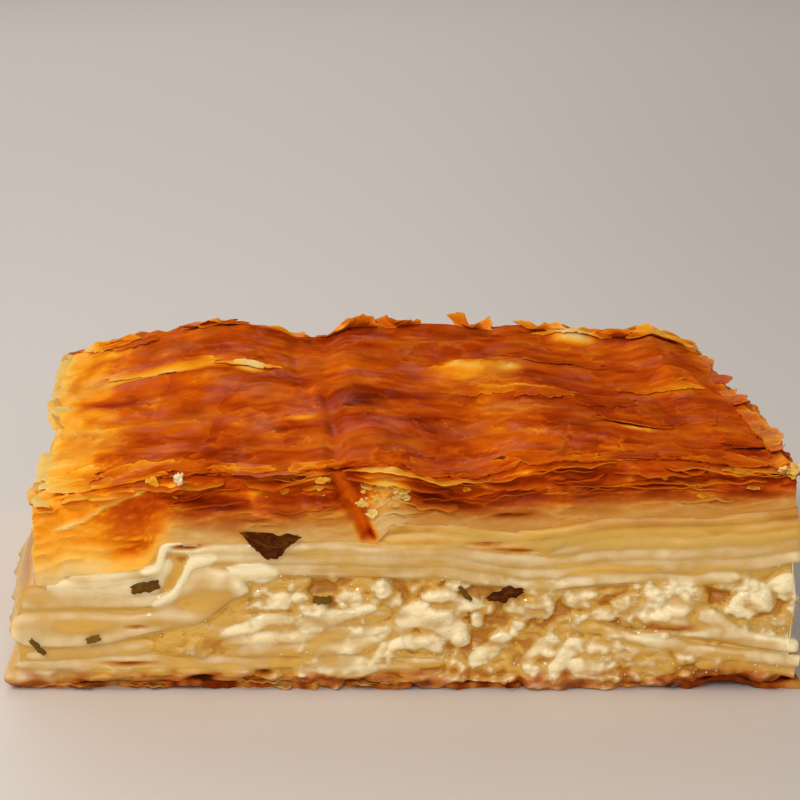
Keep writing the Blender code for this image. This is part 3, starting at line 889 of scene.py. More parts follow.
@dataclass
class BoiledSheet:
    """One boiled sheet, swept through the slice from its line in the front section."""

    name: str
    path: list[Point]
    thickness: float = 1.05
    setback: float = 0.0
    tip_thickness: float = 0.0
    path_reach: float = 6.0
    butter: float = 0.0
    toast: float = 0.0
    ragged: float = 0.0
    taper: float = 1.4
    fuller: float = 0.35

    def thickness_at(self, x: float) -> float:
        """Return the solid's thickness at x, mm.

        Args:
            x: place across, mm.

        Returns:
            The thickness.
        """
        if not self.tip_thickness:
            return self.thickness
        swell = bump((x - self.path[0][0]) / self.path_reach)
        return self.thickness + (self.tip_thickness - self.thickness) * swell

    def face_height(self, x: float, side: int, gap: float = 0.34) -> float:
        """Return the height just clear of the sheet's upper or lower face.

        Args:
            x: place across, mm.
            side: 1 for the upper face and -1 for the lower one.
            gap: how far clear of the face, mm.

        Returns:
            The height, mm.
        """
        line = smooth_path(self.path, 5.0)
        x = clamp(x, line[0].x, line[-1].x)
        for a, b in zip(line, line[1:]):
            if a.x <= x <= b.x:
                slope = (b.y - a.y) / (b.x - a.x)
                reach = self.thickness_at(x) / 2 * math.hypot(1, slope)
                return a.y + slope * (x - a.x) + side * (reach + gap)
        raise ValueError(self.name)

    def half_room(self, x: float, z: float, side: int) -> float:
        """Half thickness on one side, up to the next sheet where that one is near.

        Args:
            x: place across, mm.
            z: height of the sheet's middle, mm.
            side: 1 for above and -1 for below.

        Returns:
            The half thickness, mm.
        """
        own = self.thickness_at(x)
        plain = (own + self.fuller) / 2
        limit = plain + 0.75
        nearest = limit
        for other in SHEETS:
            if other.name == self.name or not other.path[0][0] <= x <= other.path[-1][0]:
                continue
            gap = (at(other.path, x) - z) * side
            if gap > 0.4:
                nearest = min(nearest, gap * own / (own + other.thickness_at(x)) + 0.06)
        return nearest if nearest < limit else plain

    def columns(self) -> list[tuple[Vector, Vector, float, float, float]]:
        """Return the line's points with normals, distances to the ends and half thicknesses.

        Returns:
            For each point: itself, its normal, the distance to the nearer end and
            the half thickness above and below, mm.
        """
        line = smooth_path(self.path, 0.32)
        for end in (0, -1):
            rim = line[end]
            inner = line[1 if end == 0 else -2]
            extra = [rim.lerp(inner, share) for share in (0.12, 0.3, 0.6)]
            if end == 0:
                line[1:1] = extra
            else:
                line[-1:-1] = reversed(extra)
        lengths = [0.0]
        for a, b in zip(line, line[1:]):
            lengths.append(lengths[-1] + (b - a).length)
        rooms = [(self.half_room(point.x, point.y, 1), self.half_room(point.x, point.y, -1))
                 for point in line]
        table = []
        for index, point in enumerate(line):
            before, after = line[max(index - 2, 0)], line[min(index + 2, len(line) - 1)]
            along = (after - before).normalized()
            near = rooms[max(index - 6, 0):index + 7]
            up = sum(room[0] for room in near) / len(near)
            down = sum(room[1] for room in near) / len(near)
            level = max(along.x, 0.6)
            flush = 9.0 if line[-1].x > 51.0 else 0.0
            end = min(lengths[index], lengths[-1] - lengths[index] + flush)
            table.append((point, Vector((-along.y, along.x)), end, up * level, down * level))
        return table

    def build(self, faces: tuple["CutFace", "CutFace"], material: Material) -> Object:
        """Build the sheet as a closed slab whose ends carry the relief of the cut faces.

        Args:
            faces: the front and the back cut face.
            material: its finish.

        Returns:
            The sheet's object.
        """
        skin = Skin()
        rows, columns = depth_rows(PLAIN_RIM, 12), self.columns()
        layers = max(6, round(4.0 * max(up + down for *_, up, down in columns)))
        seen: dict[tuple[int, int, bool], tuple[float, ...]] = {}

        def corner(i: int, j: int, k: int) -> int:
            """Add one corner of the slab.

            Args:
                i: its column.
                j: its row.
                k: its layer.

            Returns:
                The point's index.
            """
            v = rows[j]
            if (i, k, v > 0.5) not in seen:
                (x, z), normal, end, up, down = columns[i]
                w = 2 * k / layers - 1
                offset = ((up + down) / 2 * w + (up - down) / 2) * rounding(end, self.taper)
                px, pz = x + normal.x * offset, z + normal.y * offset
                seen[i, k, v > 0.5] = (px, pz, *faces[v > 0.5].read(px, pz))
            px, pz, inset, butter, brown_and_shade = seen[i, k, v > 0.5]
            rim = min(v, 1 - v) * SliceSpace.depth
            spot = SliceSpace.place(px, pz, v, inset * math.exp(-rim / 2.2))
            return skin.add(spot, self.toast * smooth(rim) + brown_and_shade, butter + 0.3 * smooth(rim / 3.0))

        skin.block(len(columns) - 1, len(rows) - 1, layers, corner)
        return skin.piece(self.name + "_dough", material)


SHEETS = [
    BoiledSheet("upper_sheet_1", [(-2.6, 22.3), (4.4, 22.5), (10, 21.9), (15, 21.4), (20, 21.9),
        (26, 23), (33, 23.4), (39, 23.3), (46, 23.9), (51.3, 24.7)], 1, 0.5, taper=3),
    BoiledSheet("upper_sheet_2", [(-3, 20.85), (4.4, 21), (10, 20.4), (14.5, 19.95), (19.5, 20.4),
        (26, 21.6), (33, 22), (39, 21.9), (46, 22.5), (51.5, 23.3)], 1, 0.3, taper=3),
    BoiledSheet("upper_sheet_3", [(18.7, 18.95), (22, 19.5), (26, 20.2), (33, 20.6), (39, 20.5),
        (46, 21.1), (51.6, 21.9)], 1, 0.4, taper=6),
    BoiledSheet("upper_sheet_4", [(-44.7, 15.1), (-42, 15.3), (-38, 15.6), (-34.2, 16.1),
        (-32.5, 17), (-32.1, 18.2), (-31.4, 19.3), (-29.5, 19.5), (-27, 19.5), (-20, 19.6), (-9, 19.8),
        (-1, 19.3), (4.4, 19.5), (10, 18.4), (15, 17.6), (20, 17.6), (25, 18.5), (31, 19), (39, 19),
        (46, 19.6), (51.7, 20.4)], 1.05, 0.3),
    BoiledSheet("upper_sheet_5", [(-51, 12.5), (-46, 12.6), (-40, 12.4), (-35, 12.2), (-31.6, 13.1),
        (-29.7, 14.9), (-28.6, 16.8), (-26.6, 17.9), (-20, 18), (-9, 18.1), (-1, 17.8), (4.4, 18),
        (10, 16.9), (15, 16.1), (20, 16.1), (25, 16.9), (31, 17.1), (39, 16.9), (46, 17.4),
        (51.9, 18.5)], 1.05, 0, 2.6, 19),
    BoiledSheet("upper_sheet_6", [(-22.4, 13.9), (-21.8, 15.1), (-20.4, 16.2), (-17.5, 16.6),
        (-9, 16.6), (-1, 16.3), (4.4, 16.5), (10, 15.4), (15, 14.7), (20, 14.7), (25, 15.4), (31, 15.6),
        (39, 15.4), (44, 15.8)], 1.05, -0.3, 1.5, butter=-0.1, fuller=0.5),
    BoiledSheet("middle_sheet_1", [(-25, 8), (-20, 8.9), (-14, 9.4), (-9, 9.9), (-2, 10.5)], 1.05,
        0.4, 1.4, taper=4, fuller=0.5),
    BoiledSheet("middle_sheet_2", [(-24.6, 6.4), (-19, 7.1), (-14, 7.5), (-9, 7.9), (-2.4, 8.6)],
        1.05, 0, 1.3, taper=3.5, butter=-0.1),
    BoiledSheet("middle_sheet_3", [(-23.8, 5.1), (-19, 5.4), (-14, 5.6), (-9, 6.1), (-2.9, 7)],
        1.05, -0.2, taper=4, fuller=0.6),
    BoiledSheet("left_sheet", [(-50.6, 4.6), (-45.5, 4.9), (-40.4, 5.4), (-33.4, 6.5)], 1.05, 0.2,
        taper=3, butter=0.1, fuller=0.7),
    BoiledSheet("lower_sheet_1", [(-52.2, 3.3), (-45, 3.5), (-38, 3.9), (-30, 4), (-22, 3.8),
        (-14, 3.8), (-6, 3.7), (0, 3.9), (4.9, 3.7)], 1.05, 0.1, taper=2),
    BoiledSheet("lower_sheet_2", [(-51.2, 2), (-40, 2.35), (-30, 2.45), (-20, 2.3), (-10, 2.35),
        (0, 2.35), (5.2, 2.25)], 0.8, 0.6, toast=0.15, ragged=0.5, taper=2),
    BoiledSheet("slanted_sheet_1", [(8.2, 3.2), (9.6, 4.6), (11.4, 5.9), (14, 7.3)], 1.8, -0.3, 2.9,
        butter=-0.3, ragged=0.8, taper=1.6),
    BoiledSheet("slanted_sheet_2", [(15.6, 2.9), (16.2, 4.2), (18, 5.5), (21, 6.2)], 2.5, 0.3,
        butter=-0.2, ragged=0.7, taper=2),
    BoiledSheet("right_sheet_2", [(21.8, 9), (25.5, 8.5), (30.8, 7.1), (36, 6.2), (44, 5.1),
        (52.1, 4.1)], 1.15, 0, 1.6, butter=-0.1, taper=3),
    BoiledSheet("right_sheet_3", [(38.4, 3.35), (44, 3.4), (51.6, 2.35)], 0.9, 0.9, toast=0.2,
        taper=3)]
SHEET = {sheet.name: sheet for sheet in SHEETS}

# Small folds and torn tongues of dough in the front cut's relief
TONGUES = [
    BoiledSheet("upright_left", [(-5, 2.9), (-4.4, 4.2), (-3.5, 5.4), (-2.6, 6.6)], 0.7, -0.9,
        butter=-0.3, taper=0.8),
    BoiledSheet("upright_right", [(-1.9, 3.3), (-2.3, 4.8), (-1.6, 6.2), (0.6, 6.9), (4.8, 6.5)],
        0.9, -1, butter=-0.3, taper=1),
    BoiledSheet("low", [(-11, 2.3), (-7, 2.6), (-3, 3), (2, 2.6)], 1.7, -0.8, butter=-0.1,
        taper=2.5),
    BoiledSheet("middle", [(-1.5, 9.3), (1, 10.2), (4, 9.6), (7.6, 7.8)], 2.8, -0.6, butter=-0.3,
        taper=2.4),
    BoiledSheet("right_ragged", [(43.4, 10.6), (45.5, 12.6), (48, 13)], 3.4, -0.6, butter=-0.5,
        ragged=0.9, taper=1.6),
    BoiledSheet("right_corner", [(48.6, 14.8), (50.6, 14.4), (52.2, 13)], 2.6, 0, butter=-0.3,
        ragged=0.7, taper=1.4),
    BoiledSheet("grey", [(43, 8.6), (46.6, 9.4), (51.6, 8.6)], 2, 0.7, butter=0.05, taper=2),
    BoiledSheet("flap", [(19.4, 1.6), (20.4, 3.6), (21.6, 5.4), (23.6, 6.8)], 2, -0.9, butter=-0.4,
        ragged=0.5, taper=1.5),
    BoiledSheet("flap_foot", [(21, 2.2), (23, 3), (26, 3.2)], 2.4, -0.3, butter=-0.3, ragged=0.8,
        taper=1.5),
    BoiledSheet("left_fold_edge", [(-26.4, 14.4), (-24, 15.5), (-21.4, 16.1), (-17, 16.5)], 2, -0.9,
        butter=-0.45, taper=2.5),
    BoiledSheet("left_fold_lobe", [(-23.6, 15.6), (-22.2, 14.8), (-21, 13.4)], 2, -0.8, butter=-0.4,
        taper=1.4),
    BoiledSheet("left_white", [(-47.5, 13.9), (-42, 14), (-37, 14.2), (-34, 15), (-32.4, 16.4),
        (-31, 18)], 2.8, 0.2, butter=-0.3, taper=2),
    BoiledSheet("curl", [(-34.4, 16.2), (-32.6, 17), (-32, 18.6), (-31.2, 19.8), (-28, 20)], 0.8,
        -0.7, butter=-0.4, taper=1),
    BoiledSheet("sweep", [(-33.5, 11.8), (-31, 13.3), (-29.4, 15.3), (-28.2, 17.2), (-25, 18.2)], 1,
        -0.8, butter=-0.35, taper=2),
    BoiledSheet("middle_sweep", [(-25.5, 7.4), (-20, 9.2), (-14, 9.8), (-8, 10.4), (-4, 11.4)], 1.2,
        -0.5, butter=-0.3, taper=3),
    BoiledSheet("yellow_slab", [(-33, 5.6), (-29, 6.6), (-24, 8.4)], 3.2, -0.4, butter=0.35,
        taper=2.5)]
# The pale corner that lies low on the left
CORNER = BoiledSheet("left_corner", [(-53.6, 1.6), (-50.5, 1.8), (-46, 2), (-42, 2.4)], 2.4, 0.3,
                     taper=3)


# ---------------- soft masses


@dataclass
class SoftMass:
    """A soft filling or fold that takes up the room between two heights."""

    name: str
    top: Callable[[float], float]
    bottom: Callable[[float], float]
    left: float
    right: float
    layers: int = 14
    step: float = 0.3
    behind: float = 0.0
    end: float = 1.0

    def spread(self, x: float) -> tuple[float, float, float]:
        """Return the mass's lower and upper height at x and the rounding of its ends."""
        return (self.bottom(x) - 0.1, self.top(x) + 0.1,
                rounding(min(x - self.left, self.right - x), self.end))

    def build(self, faces: tuple["CutFace", "CutFace"], material: Material) -> Object:
        """Build the mass as one closed block that carries the relief of the cut faces.

        Args:
            faces: the front and the back cut face.
            material: its finish.

        Returns:
            The mass's object.
        """
        skin = Skin()
        rows = depth_rows(PLAIN_RIM, 40)
        count = round((self.right - self.left) / self.step)
        columns = [self.left + (self.right - self.left) * i / count for i in range(count + 1)]
        spreads = [self.spread(x) for x in columns]
        seen: dict[tuple[int, int, bool], tuple[float, ...]] = {}

        def corner(i: int, j: int, k: int) -> int:
            """Add one corner of the block.

            Args:
                i: its column.
                j: its row.
                k: its layer.

            Returns:
                The point's index.
            """
            x, v = columns[i], rows[j]
            if (i, k, v > 0.5) not in seen:
                low, high, end = spreads[i]
                z = (low + high) / 2 + (high - low) * (k / self.layers - 0.5) * (0.15 + 0.85 * end)
                seen[i, k, v > 0.5] = (z, *faces[v > 0.5].read(x, z))
            z, inset, butter, brown_and_shade = seen[i, k, v > 0.5]
            rim = min(v, 1 - v) * SliceSpace.depth
            side = 0.0
            if i in (0, count):
                side = crumble(v * SliceSpace.depth, z, 30.0 + i) * (1 if i else -1) * smooth(rim)
                butter -= 0.4 * abs(side)
            spot = SliceSpace.place(x + side, z, v, (inset + self.behind) * math.exp(-rim / 2.2))
            return skin.add(spot, brown_and_shade, butter + 0.15 * smooth(rim / 4))

        skin.block(count, len(rows) - 1, self.layers, corner)
        return skin.piece(self.name + "_mass", material)


LEFT_FOLD_TOP = [
    (-52.6, 9.8), (-50, 10.7), (-46, 10.8), (-36, 10.6), (-33.5, 10.9), (-31.6, 12.2), (-29.6, 14.6),
    (-28, 16.6), (-26, 17.1), (-23.8, 16.8), (-22, 15.8), (-20.6, 14.2)]
LEFT_FOLD_BOTTOM = [
    (-52.6, 7), (-50, 6.2), (-46, 6.1), (-40, 6.6), (-33, 8.2), (-29, 8.9), (-27, 9.6), (-25, 11),
    (-22.8, 12.8), (-20.6, 13.6)]
WEDGE_TOP = [
    (29, 10.4), (31.9, 11.9), (35, 13), (38.5, 12.6), (41.4, 10.8), (44, 8.8), (47, 7.7), (52.2, 6.9)]
WEDGE_BOTTOM = [
    (29, 9.4), (31.9, 9.2), (36, 8.3), (40, 7.3), (44, 6.4), (52.2, 5.2)]


def left_fold_relief(x: float, z: float) -> float:
    """Two soft lobes at the fold's tip and shallow creases along it.

    Args:
        x: place across, mm.
        z: height, mm.

    Returns:
        The height of the relief, mm.
    """
    lobes = 0.35 * bump((x + 24.6) / 2.6) * bump((z - 15.4) / 2.6)
    lobes += 0.6 * bump((x + 21.8) / 1.8) * bump((z - 14.6) / 2.4)
    lobes -= 0.5 * bump((x + 29) / 4) * bump((z - 12.0) / 2.5)
    return lobes + 0.2 * wobble(x / 9, z / 1.8, 5.0) + 0.06 * wobble(x / 2.5, z / 1.2, 6.0)


def wedge_relief(x: float, z: float) -> float:
    """White crumbs stick to the wedge's thick end, the rest is smooth."""
    share = 1 - smooth((x - 36.5) / 5.5)
    return (crumble(x, z, 5.0) + 0.3) * share + 0.25 * wobble(x / 6, z / 1.2, 3.0) * (1 - share)


LEFT_FOLD = SoftMass("left_fold", partial(at, LEFT_FOLD_TOP), partial(at, LEFT_FOLD_BOTTOM),
                     -52.6, -20.6, layers=20, end=1.6)
WEDGE = SoftMass("right_sheet_1", partial(at, WEDGE_TOP), partial(at, WEDGE_BOTTOM),
                 29.0, 52.2, layers=16, end=2.0)


# ---------------- cheese


@dataclass(frozen=True)
class Curd:
    """One soft lump of cheese on the front cut: middle, half sizes, height and slant."""

    x: float
    z: float
    half_x: float
    half_z: float
    proud: float = 1.3
    slant: float = 0.0

    def height(self, x: float, z: float) -> float:
        """Return how far the lump stands out at a place, mm, and BELOW_ALL outside it.

        Args:
            x: place across, mm.
            z: height, mm.

        Returns:
            The height.
        """
        if abs(x - self.x) > 5 or abs(z - self.z) > 5:
            return BELOW_ALL
        turn = math.radians(self.slant)
        across, up = x - self.x, z - self.z
        a = (across * math.cos(turn) + up * math.sin(turn)) / self.half_x
        b = (up * math.cos(turn) - across * math.sin(turn)) / self.half_z
        share = 1 - a * a - b * b + 0.55 * wobble(x / 2.0, z / 1.5, self.x)
        share += 0.2 * wobble(x / 0.8, z / 0.7, self.x)
        if share <= 0:
            return BELOW_ALL
        return 0.62 * self.proud * share ** 0.7 + 0.4 * crumble(x, z, self.x)


CURDS = [Curd(*row) for row in (
    (-17.4, 12.2, 2.8, 1.3, 1.4, 14), (-12.4, 10.9, 3, 1.2, 1.1, -6), (-3.2, 14, 1.7, 1.5, 1.7),
    (-1.6, 12.4, 1.4, 1.3, 1.2), (-7.2, 12.4, 2.3, 1.4, 1), (4.4, 13.1, 2.3, 1.3, 1.7, 8),
    (9.3, 9.9, 1.2, 1.1, 1.8), (6.6, 14.6, 1.8, 1, 1.2), (3.6, 10.6, 4.4, 1.7, 1.5, -6),
    (7.6, 12, 2.6, 1.2, 1.1, -14), (16.4, 11.7, 3.3, 2.2, 1.3, 10), (22.6, 12.8, 2, 1.5, 0.8),
    (29.2, 11.4, 2.6, 1.8, 1.9, -20), (33.4, 13, 4.8, 2.1, 1.9, 12), (37.4, 13.4, 2.8, 1.9, 1.7, -30),
    (45.8, 12.9, 2.9, 2.6, 1.9, -30), (50, 14.3, 1.8, 1.9, 1.6), (26.4, 10.6, 1.9, 1.1, 1.2),
    (2.6, 6.9, 3.4, 1.2, 1.6, 3), (6.9, 7.3, 1.9, 1.4, 1.6), (27.5, 5.4, 6, 1.9, 1.1, -8),
    (24.6, 2.9, 2.6, 2.2, 1.3), (33, 3.4, 3.6, 1.4, 0.9), (-29.3, 6.2, 3.6, 1.8, 1.2, -12))]


def upper_cheese_top(x: float) -> float:
    """Ceiling of the upper cheese: the sheet above it."""
    return SHEET["upper_sheet_6" if x < 45.1 else "upper_sheet_5"].face_height(x, -1, 0.2)


def upper_cheese_bottom(x: float) -> float:
    """Floor of the upper cheese, from the middle sheets to the wedge at the right.

    Args:
        x: place across, mm.

    Returns:
        The height, mm.
    """
    left = SHEET["middle_sheet_1"].face_height(x, 1, 0.2)
    middle = at([(-0.9, 5.2), (5.6, 5.2), (6.4, 6.2), (8.2, 7.4), (13.8, 9.3), (15, 8.4),
                 (20.4, 8.4)], x)
    right = SHEET["right_sheet_2"].face_height(x, 1, 0.2)
    wedge = at(WEDGE_TOP, x) + 0.2
    low = left + (middle - left) * smooth((x + 2.5) / 3.0)
    low += (right - low) * smooth((x - 19.5) / 3.0)
    return low + (wedge - low) * smooth((x - 29.5) / 3.0)


# ---------------- the two cut faces


class CutFace:
    """The relief and paint of one cut face, worked out once on a fine grid."""

    step_x = 0.2
    step_z = 0.16
    left = -56.0
    bottom = -0.4
    columns = 561
    rows = 168

    def __init__(self, key: float) -> None:
        """Work the face out.

        Args:
            key: 0 for the front; another number gives the back its own chance.
        """
        self.key = key
        self.front = key == 0.0
        self.xs = self.left + self.step_x * np.arange(self.columns)
        self.zs = self.bottom + self.step_z * np.arange(self.rows)
        self.shift_x = self.noise((0.7, 5, 3, 0))
        self.shift_z = self.noise((0.34, 5.5, 2.4, 3), (0.12, 1.6, 1.2, 4))
        self.waves = self.noise((0.3, 7, 3.4, 5), (0.1, 2.1, 1.2, 6), (0.03, 0.8, 0.6, 7))
        self.crumbs = self.spread(lambda x, z: crumble(x, z, key))
        self.fused = self.spread(lambda x, z: clamp(all_at(FUSED, x, z)))
        self.cheese = self.spread(self.cheese_share)
        self.height = self.spread(self.pressed_step) + self.crumbs * self.cheese
        self.height += 0.4 * self.waves - 0.5
        # Yellower where the face stands back, whiter where it stands out: painted shade and highlight
        self.butter = 0.22 - 0.3 * self.height
        self.lay_pieces()
        self.soften()
        self.paint()

    def lay_pieces(self) -> None:
        """Lay the sheets and folds over the face, and the torn tongues at the front."""
        for sheet in SHEETS + [CORNER]:
            self.lay_sheet(sheet)
        self.lay_mass(LEFT_FOLD, left_fold_relief, -0.1)
        self.lay_mass(WEDGE, wedge_relief, -0.15)
        for tongue in TONGUES if self.front else ():
            self.lay_sheet(tongue)

    def soften(self) -> None:
        """Even the dough out, then add the crumbly foot, the curds and the slits."""
        keep = 0.06 + 0.4 * self.cheese
        even = self.blurred(self.blurred(self.height, 2), 2)
        self.height = self.height * keep + even * (1 - keep)
        self.height += self.crumbs * self.spread(lambda x, z: 0.3 * smooth((3.4 - z) / 1.6))
        for curd in CURDS if self.front else ():
            self.blend(self.spread(curd.height) - 0.6, -0.1, 0.4)
        self.slits = self.spread(lambda x, z: all_at(SLITS, x, z)) * self.front
        self.height -= self.slits

    def paint(self) -> None:
        """Paint butter and browning, shade into hollows and slits, and highlights onto the curds."""
        # Hollows get yellower and crests whiter: pooled butter with painted shade and highlight
        cavity = self.blurred(self.height, 7) - self.height
        self.butter += self.spread(butter_and_shade_at) + np.clip(1.2 * cavity, -0.45, 0.8)
        clouds = self.noise((1, 4.5, 2.2, 21))
        lumps = np.clip(self.crumbs + 0.1, 0, 1)
        # Proud cheese lumps are whiter: the curds' own white and a painted highlight on their tops
        self.butter += self.cheese * (0.1 + 0.5 * clouds - 0.45 * lumps)
        # Browning where the heat reached, plus painted shade in the hollows
        self.brown_and_shade = self.spread(brown_and_shade_at) + np.clip(0.4 * cavity - 0.1, 0.0, 0.35)
        # The slits are painted dark as shade in the gaps
        self.brown_and_shade += 1.1 * self.slits

    def noise(self, *waves: tuple[float, float, float, float]) -> np.ndarray:
        """Add up noises over the grid, each given as strength, width, height and key."""
        return sum(strength * self.spread(lambda x, z: wobble(x / wide, z / high, self.key + own))
                   for strength, wide, high, own in waves)

    def spread(self, value: Callable[[float, float], float]) -> np.ndarray:
        """Work out a value at every place of the grid."""
        zs = [float(z) for z in self.zs]
        return np.array([[value(float(x), z) for z in zs] for x in self.xs])

    @staticmethod
    def blurred(values: np.ndarray, reach: int) -> np.ndarray:
        """Average a grid over a square of so many places to each side.

        Args:
            values: the grid.
            reach: the number of places.

        Returns:
            The averaged grid.
        """
        for axis in (0, 1):
            width = [(reach, reach) if axis == side else (0, 0) for side in (0, 1)]
            total = np.cumsum(np.pad(values, width, mode="edge"), axis=axis)
            ahead = np.take(total, range(2 * reach, total.shape[axis]), axis=axis)
            behind = np.take(total, range(0, total.shape[axis] - 2 * reach), axis=axis)
            values = (ahead - behind) / (2 * reach)
        return values

    def cheese_share(self, x: float, z: float) -> float:
        """Share of crumbled cheese in the level between the sheets."""
        return smooth((17.5 - z) / 3) * smooth((x + 24) / 5)

    def pressed_step(self, x: float, z: float) -> float:
        """Step of the thin edges that are pressed together between the sheets.

        Args:
            x: place across, mm.
            z: height, mm.

        Returns:
            The step, mm.
        """
        band = z / 1.3 + 0.5 * wobble(x / 14, self.key, 3.0)
        step = 0.26 * wobble(x / 9, math.floor(band) * 1.7, self.key)
        return step * (1 - self.cheese_share(x, z))

    def blend(self, height: np.ndarray, butter: np.ndarray | float, soft: float) -> None:
        """Raise the face to a new layer where that stands higher, with a soft join.

        Args:
            height: how far the new layer stands out at each place, mm.
            butter: its yellowness, one for all or one for each place.
            soft: width of the join, mm.
        """
        share = np.clip(0.5 + (height - self.height) / (2 * soft), 0, 1)
        self.height += (height - self.height) * share + soft * share * (1 - share)
        self.butter += (butter - self.butter) * share

    def lay_sheet(self, sheet: BoiledSheet) -> None:
        """Lay a sheet's rounded ridge over the face.

        Args:
            sheet: the sheet.
        """
        table = sheet.columns()
        px, pz, nx, nz, ends, up, down = np.array(
            [(*point, *normal, end, above, below) for point, normal, end, above, below in table]).T
        tips = np.array([rounding(end, sheet.taper) for end in ends])
        i0, i1 = np.searchsorted(self.xs, [px.min() - 2.5, px.max() + 2.5])
        k0, k1 = np.searchsorted(self.zs, [pz.min() - 3.5, pz.max() + 3.5])
        part = (slice(i0, i1), slice(k0, k1))
        gx, gz = np.meshgrid(self.xs[i0:i1], self.zs[k0:k1], indexing="ij")
        gx, gz = gx + self.shift_x[part], gz + self.shift_z[part] * (1 + sheet.ragged)
        nearest = np.zeros(gx.shape, dtype=int)
        best = np.full(gx.shape, 1e9)
        for index in range(len(table)):
            distance = (gx - px[index]) ** 2 + (gz - pz[index]) ** 2
            closer = distance < best
            best[closer] = distance[closer]
            nearest[closer] = index
        across = (gx - px[nearest]) * nx[nearest] + (gz - pz[nearest]) * nz[nearest]
        beyond = np.sqrt(np.maximum(best - across ** 2, 0.0))
        beyond[(nearest > 0) & (nearest < len(table) - 1)] = 0.0
        half = np.where(across > 0, up[nearest], down[nearest]) * tips[nearest]
        grain = self.waves[part] + sheet.ragged * self.crumbs[part]
        seed = self.key + 3.1 * pz[0]
        drift = np.array([0.3 * wobble(x / 13, seed) for x in map(float, px)])[nearest]
        share = np.abs(across) / np.maximum(half * (1 + 0.5 * sheet.ragged * grain), 0.05)
        fused = self.fused[part]
        middle = (-0.1 - 0.3 * sheet.setback + 0.7 * drift) * (1 - 0.85 * fused) + grain
        height = np.full(self.height.shape, BELOW_ALL)
        height[part] = (middle - 0.2 * np.minimum(share, 1) ** 2 * (1 - 0.9 * fused)
                        - 0.25 * (1 - tips[nearest]) - 1.2 * beyond
                        - 1.7 * np.maximum(share - 1, 0) * half)
        # Each sheet is whiter at its upper edge and yellower at its lower one: painted light and shade
        butter = np.zeros(self.height.shape)
        butter[part] = (sheet.butter - 0.16 * np.clip(across / np.maximum(half, 0.1), -1, 1)
                        * (1 - 0.6 * fused) + 0.6 * drift)
        self.blend(height, butter, 0.12)

    def lay_mass(self, mass: SoftMass, relief: Callable[[float, float], float],
                 butter: float) -> None:
        """Lay a fold that fills the room between two heights over the face.

        Args:
            mass: the fold.
            relief: its relief at a place across and a height, mm.
            butter: its yellowness.
        """

        def level(x: float, z: float) -> float:
            """Height of the fold at a place.

            Args:
                x: place across, mm.
                z: height, mm.

            Returns:
                How far it stands out, mm.
            """
            if not mass.left < x < mass.right:
                return BELOW_ALL
            low, high, end = mass.spread(x)
            half = (high - low) / 2 * (0.15 + 0.85 * end)
            share = abs(z - (low + high) / 2) / half
            if share > 1.6:
                return BELOW_ALL
            edge = 0.3 * min(share, 1) ** 4 + 1.6 * max(share - 1, 0) * half
            return 0.1 - edge - 0.3 * (1 - end) + relief(x, z)

        self.blend(self.spread(level), butter, 0.12)

    def read(self, x: float, z: float) -> tuple[float, float, float]:
        """Return how far the face stands back at a place, and its butter and browning with painted
        shade.

        Args:
            x: place across, mm.
            z: height, mm.

        Returns:
            How far it stands back, mm, its butter and its browning, both with painted shade.
        """
        a = clamp((x - self.left) / self.step_x, 0, self.columns - 1.001)
        b = clamp((z - self.bottom) / self.step_z, 0, self.rows - 1.001)
        i, k = int(a), int(b)
        a, b = a - i, b - k
        weights = ((i, k, (1 - a) * (1 - b)), (i + 1, k, a * (1 - b)), (i, k + 1, (1 - a) * b),
                   (i + 1, k + 1, a * b))
        height, butter, brown_and_shade = (sum(float(grid[p, q]) * share for p, q, share in weights)
                                 for grid in (self.height, self.butter, self.brown_and_shade))
        return -height, butter, brown_and_shade


# ---------------- browned top


class Side(Enum):
    """The four cut sides of the slice."""

    FRONT = "front"
    BACK = "back"
    LEFT = "left"
    RIGHT = "right"


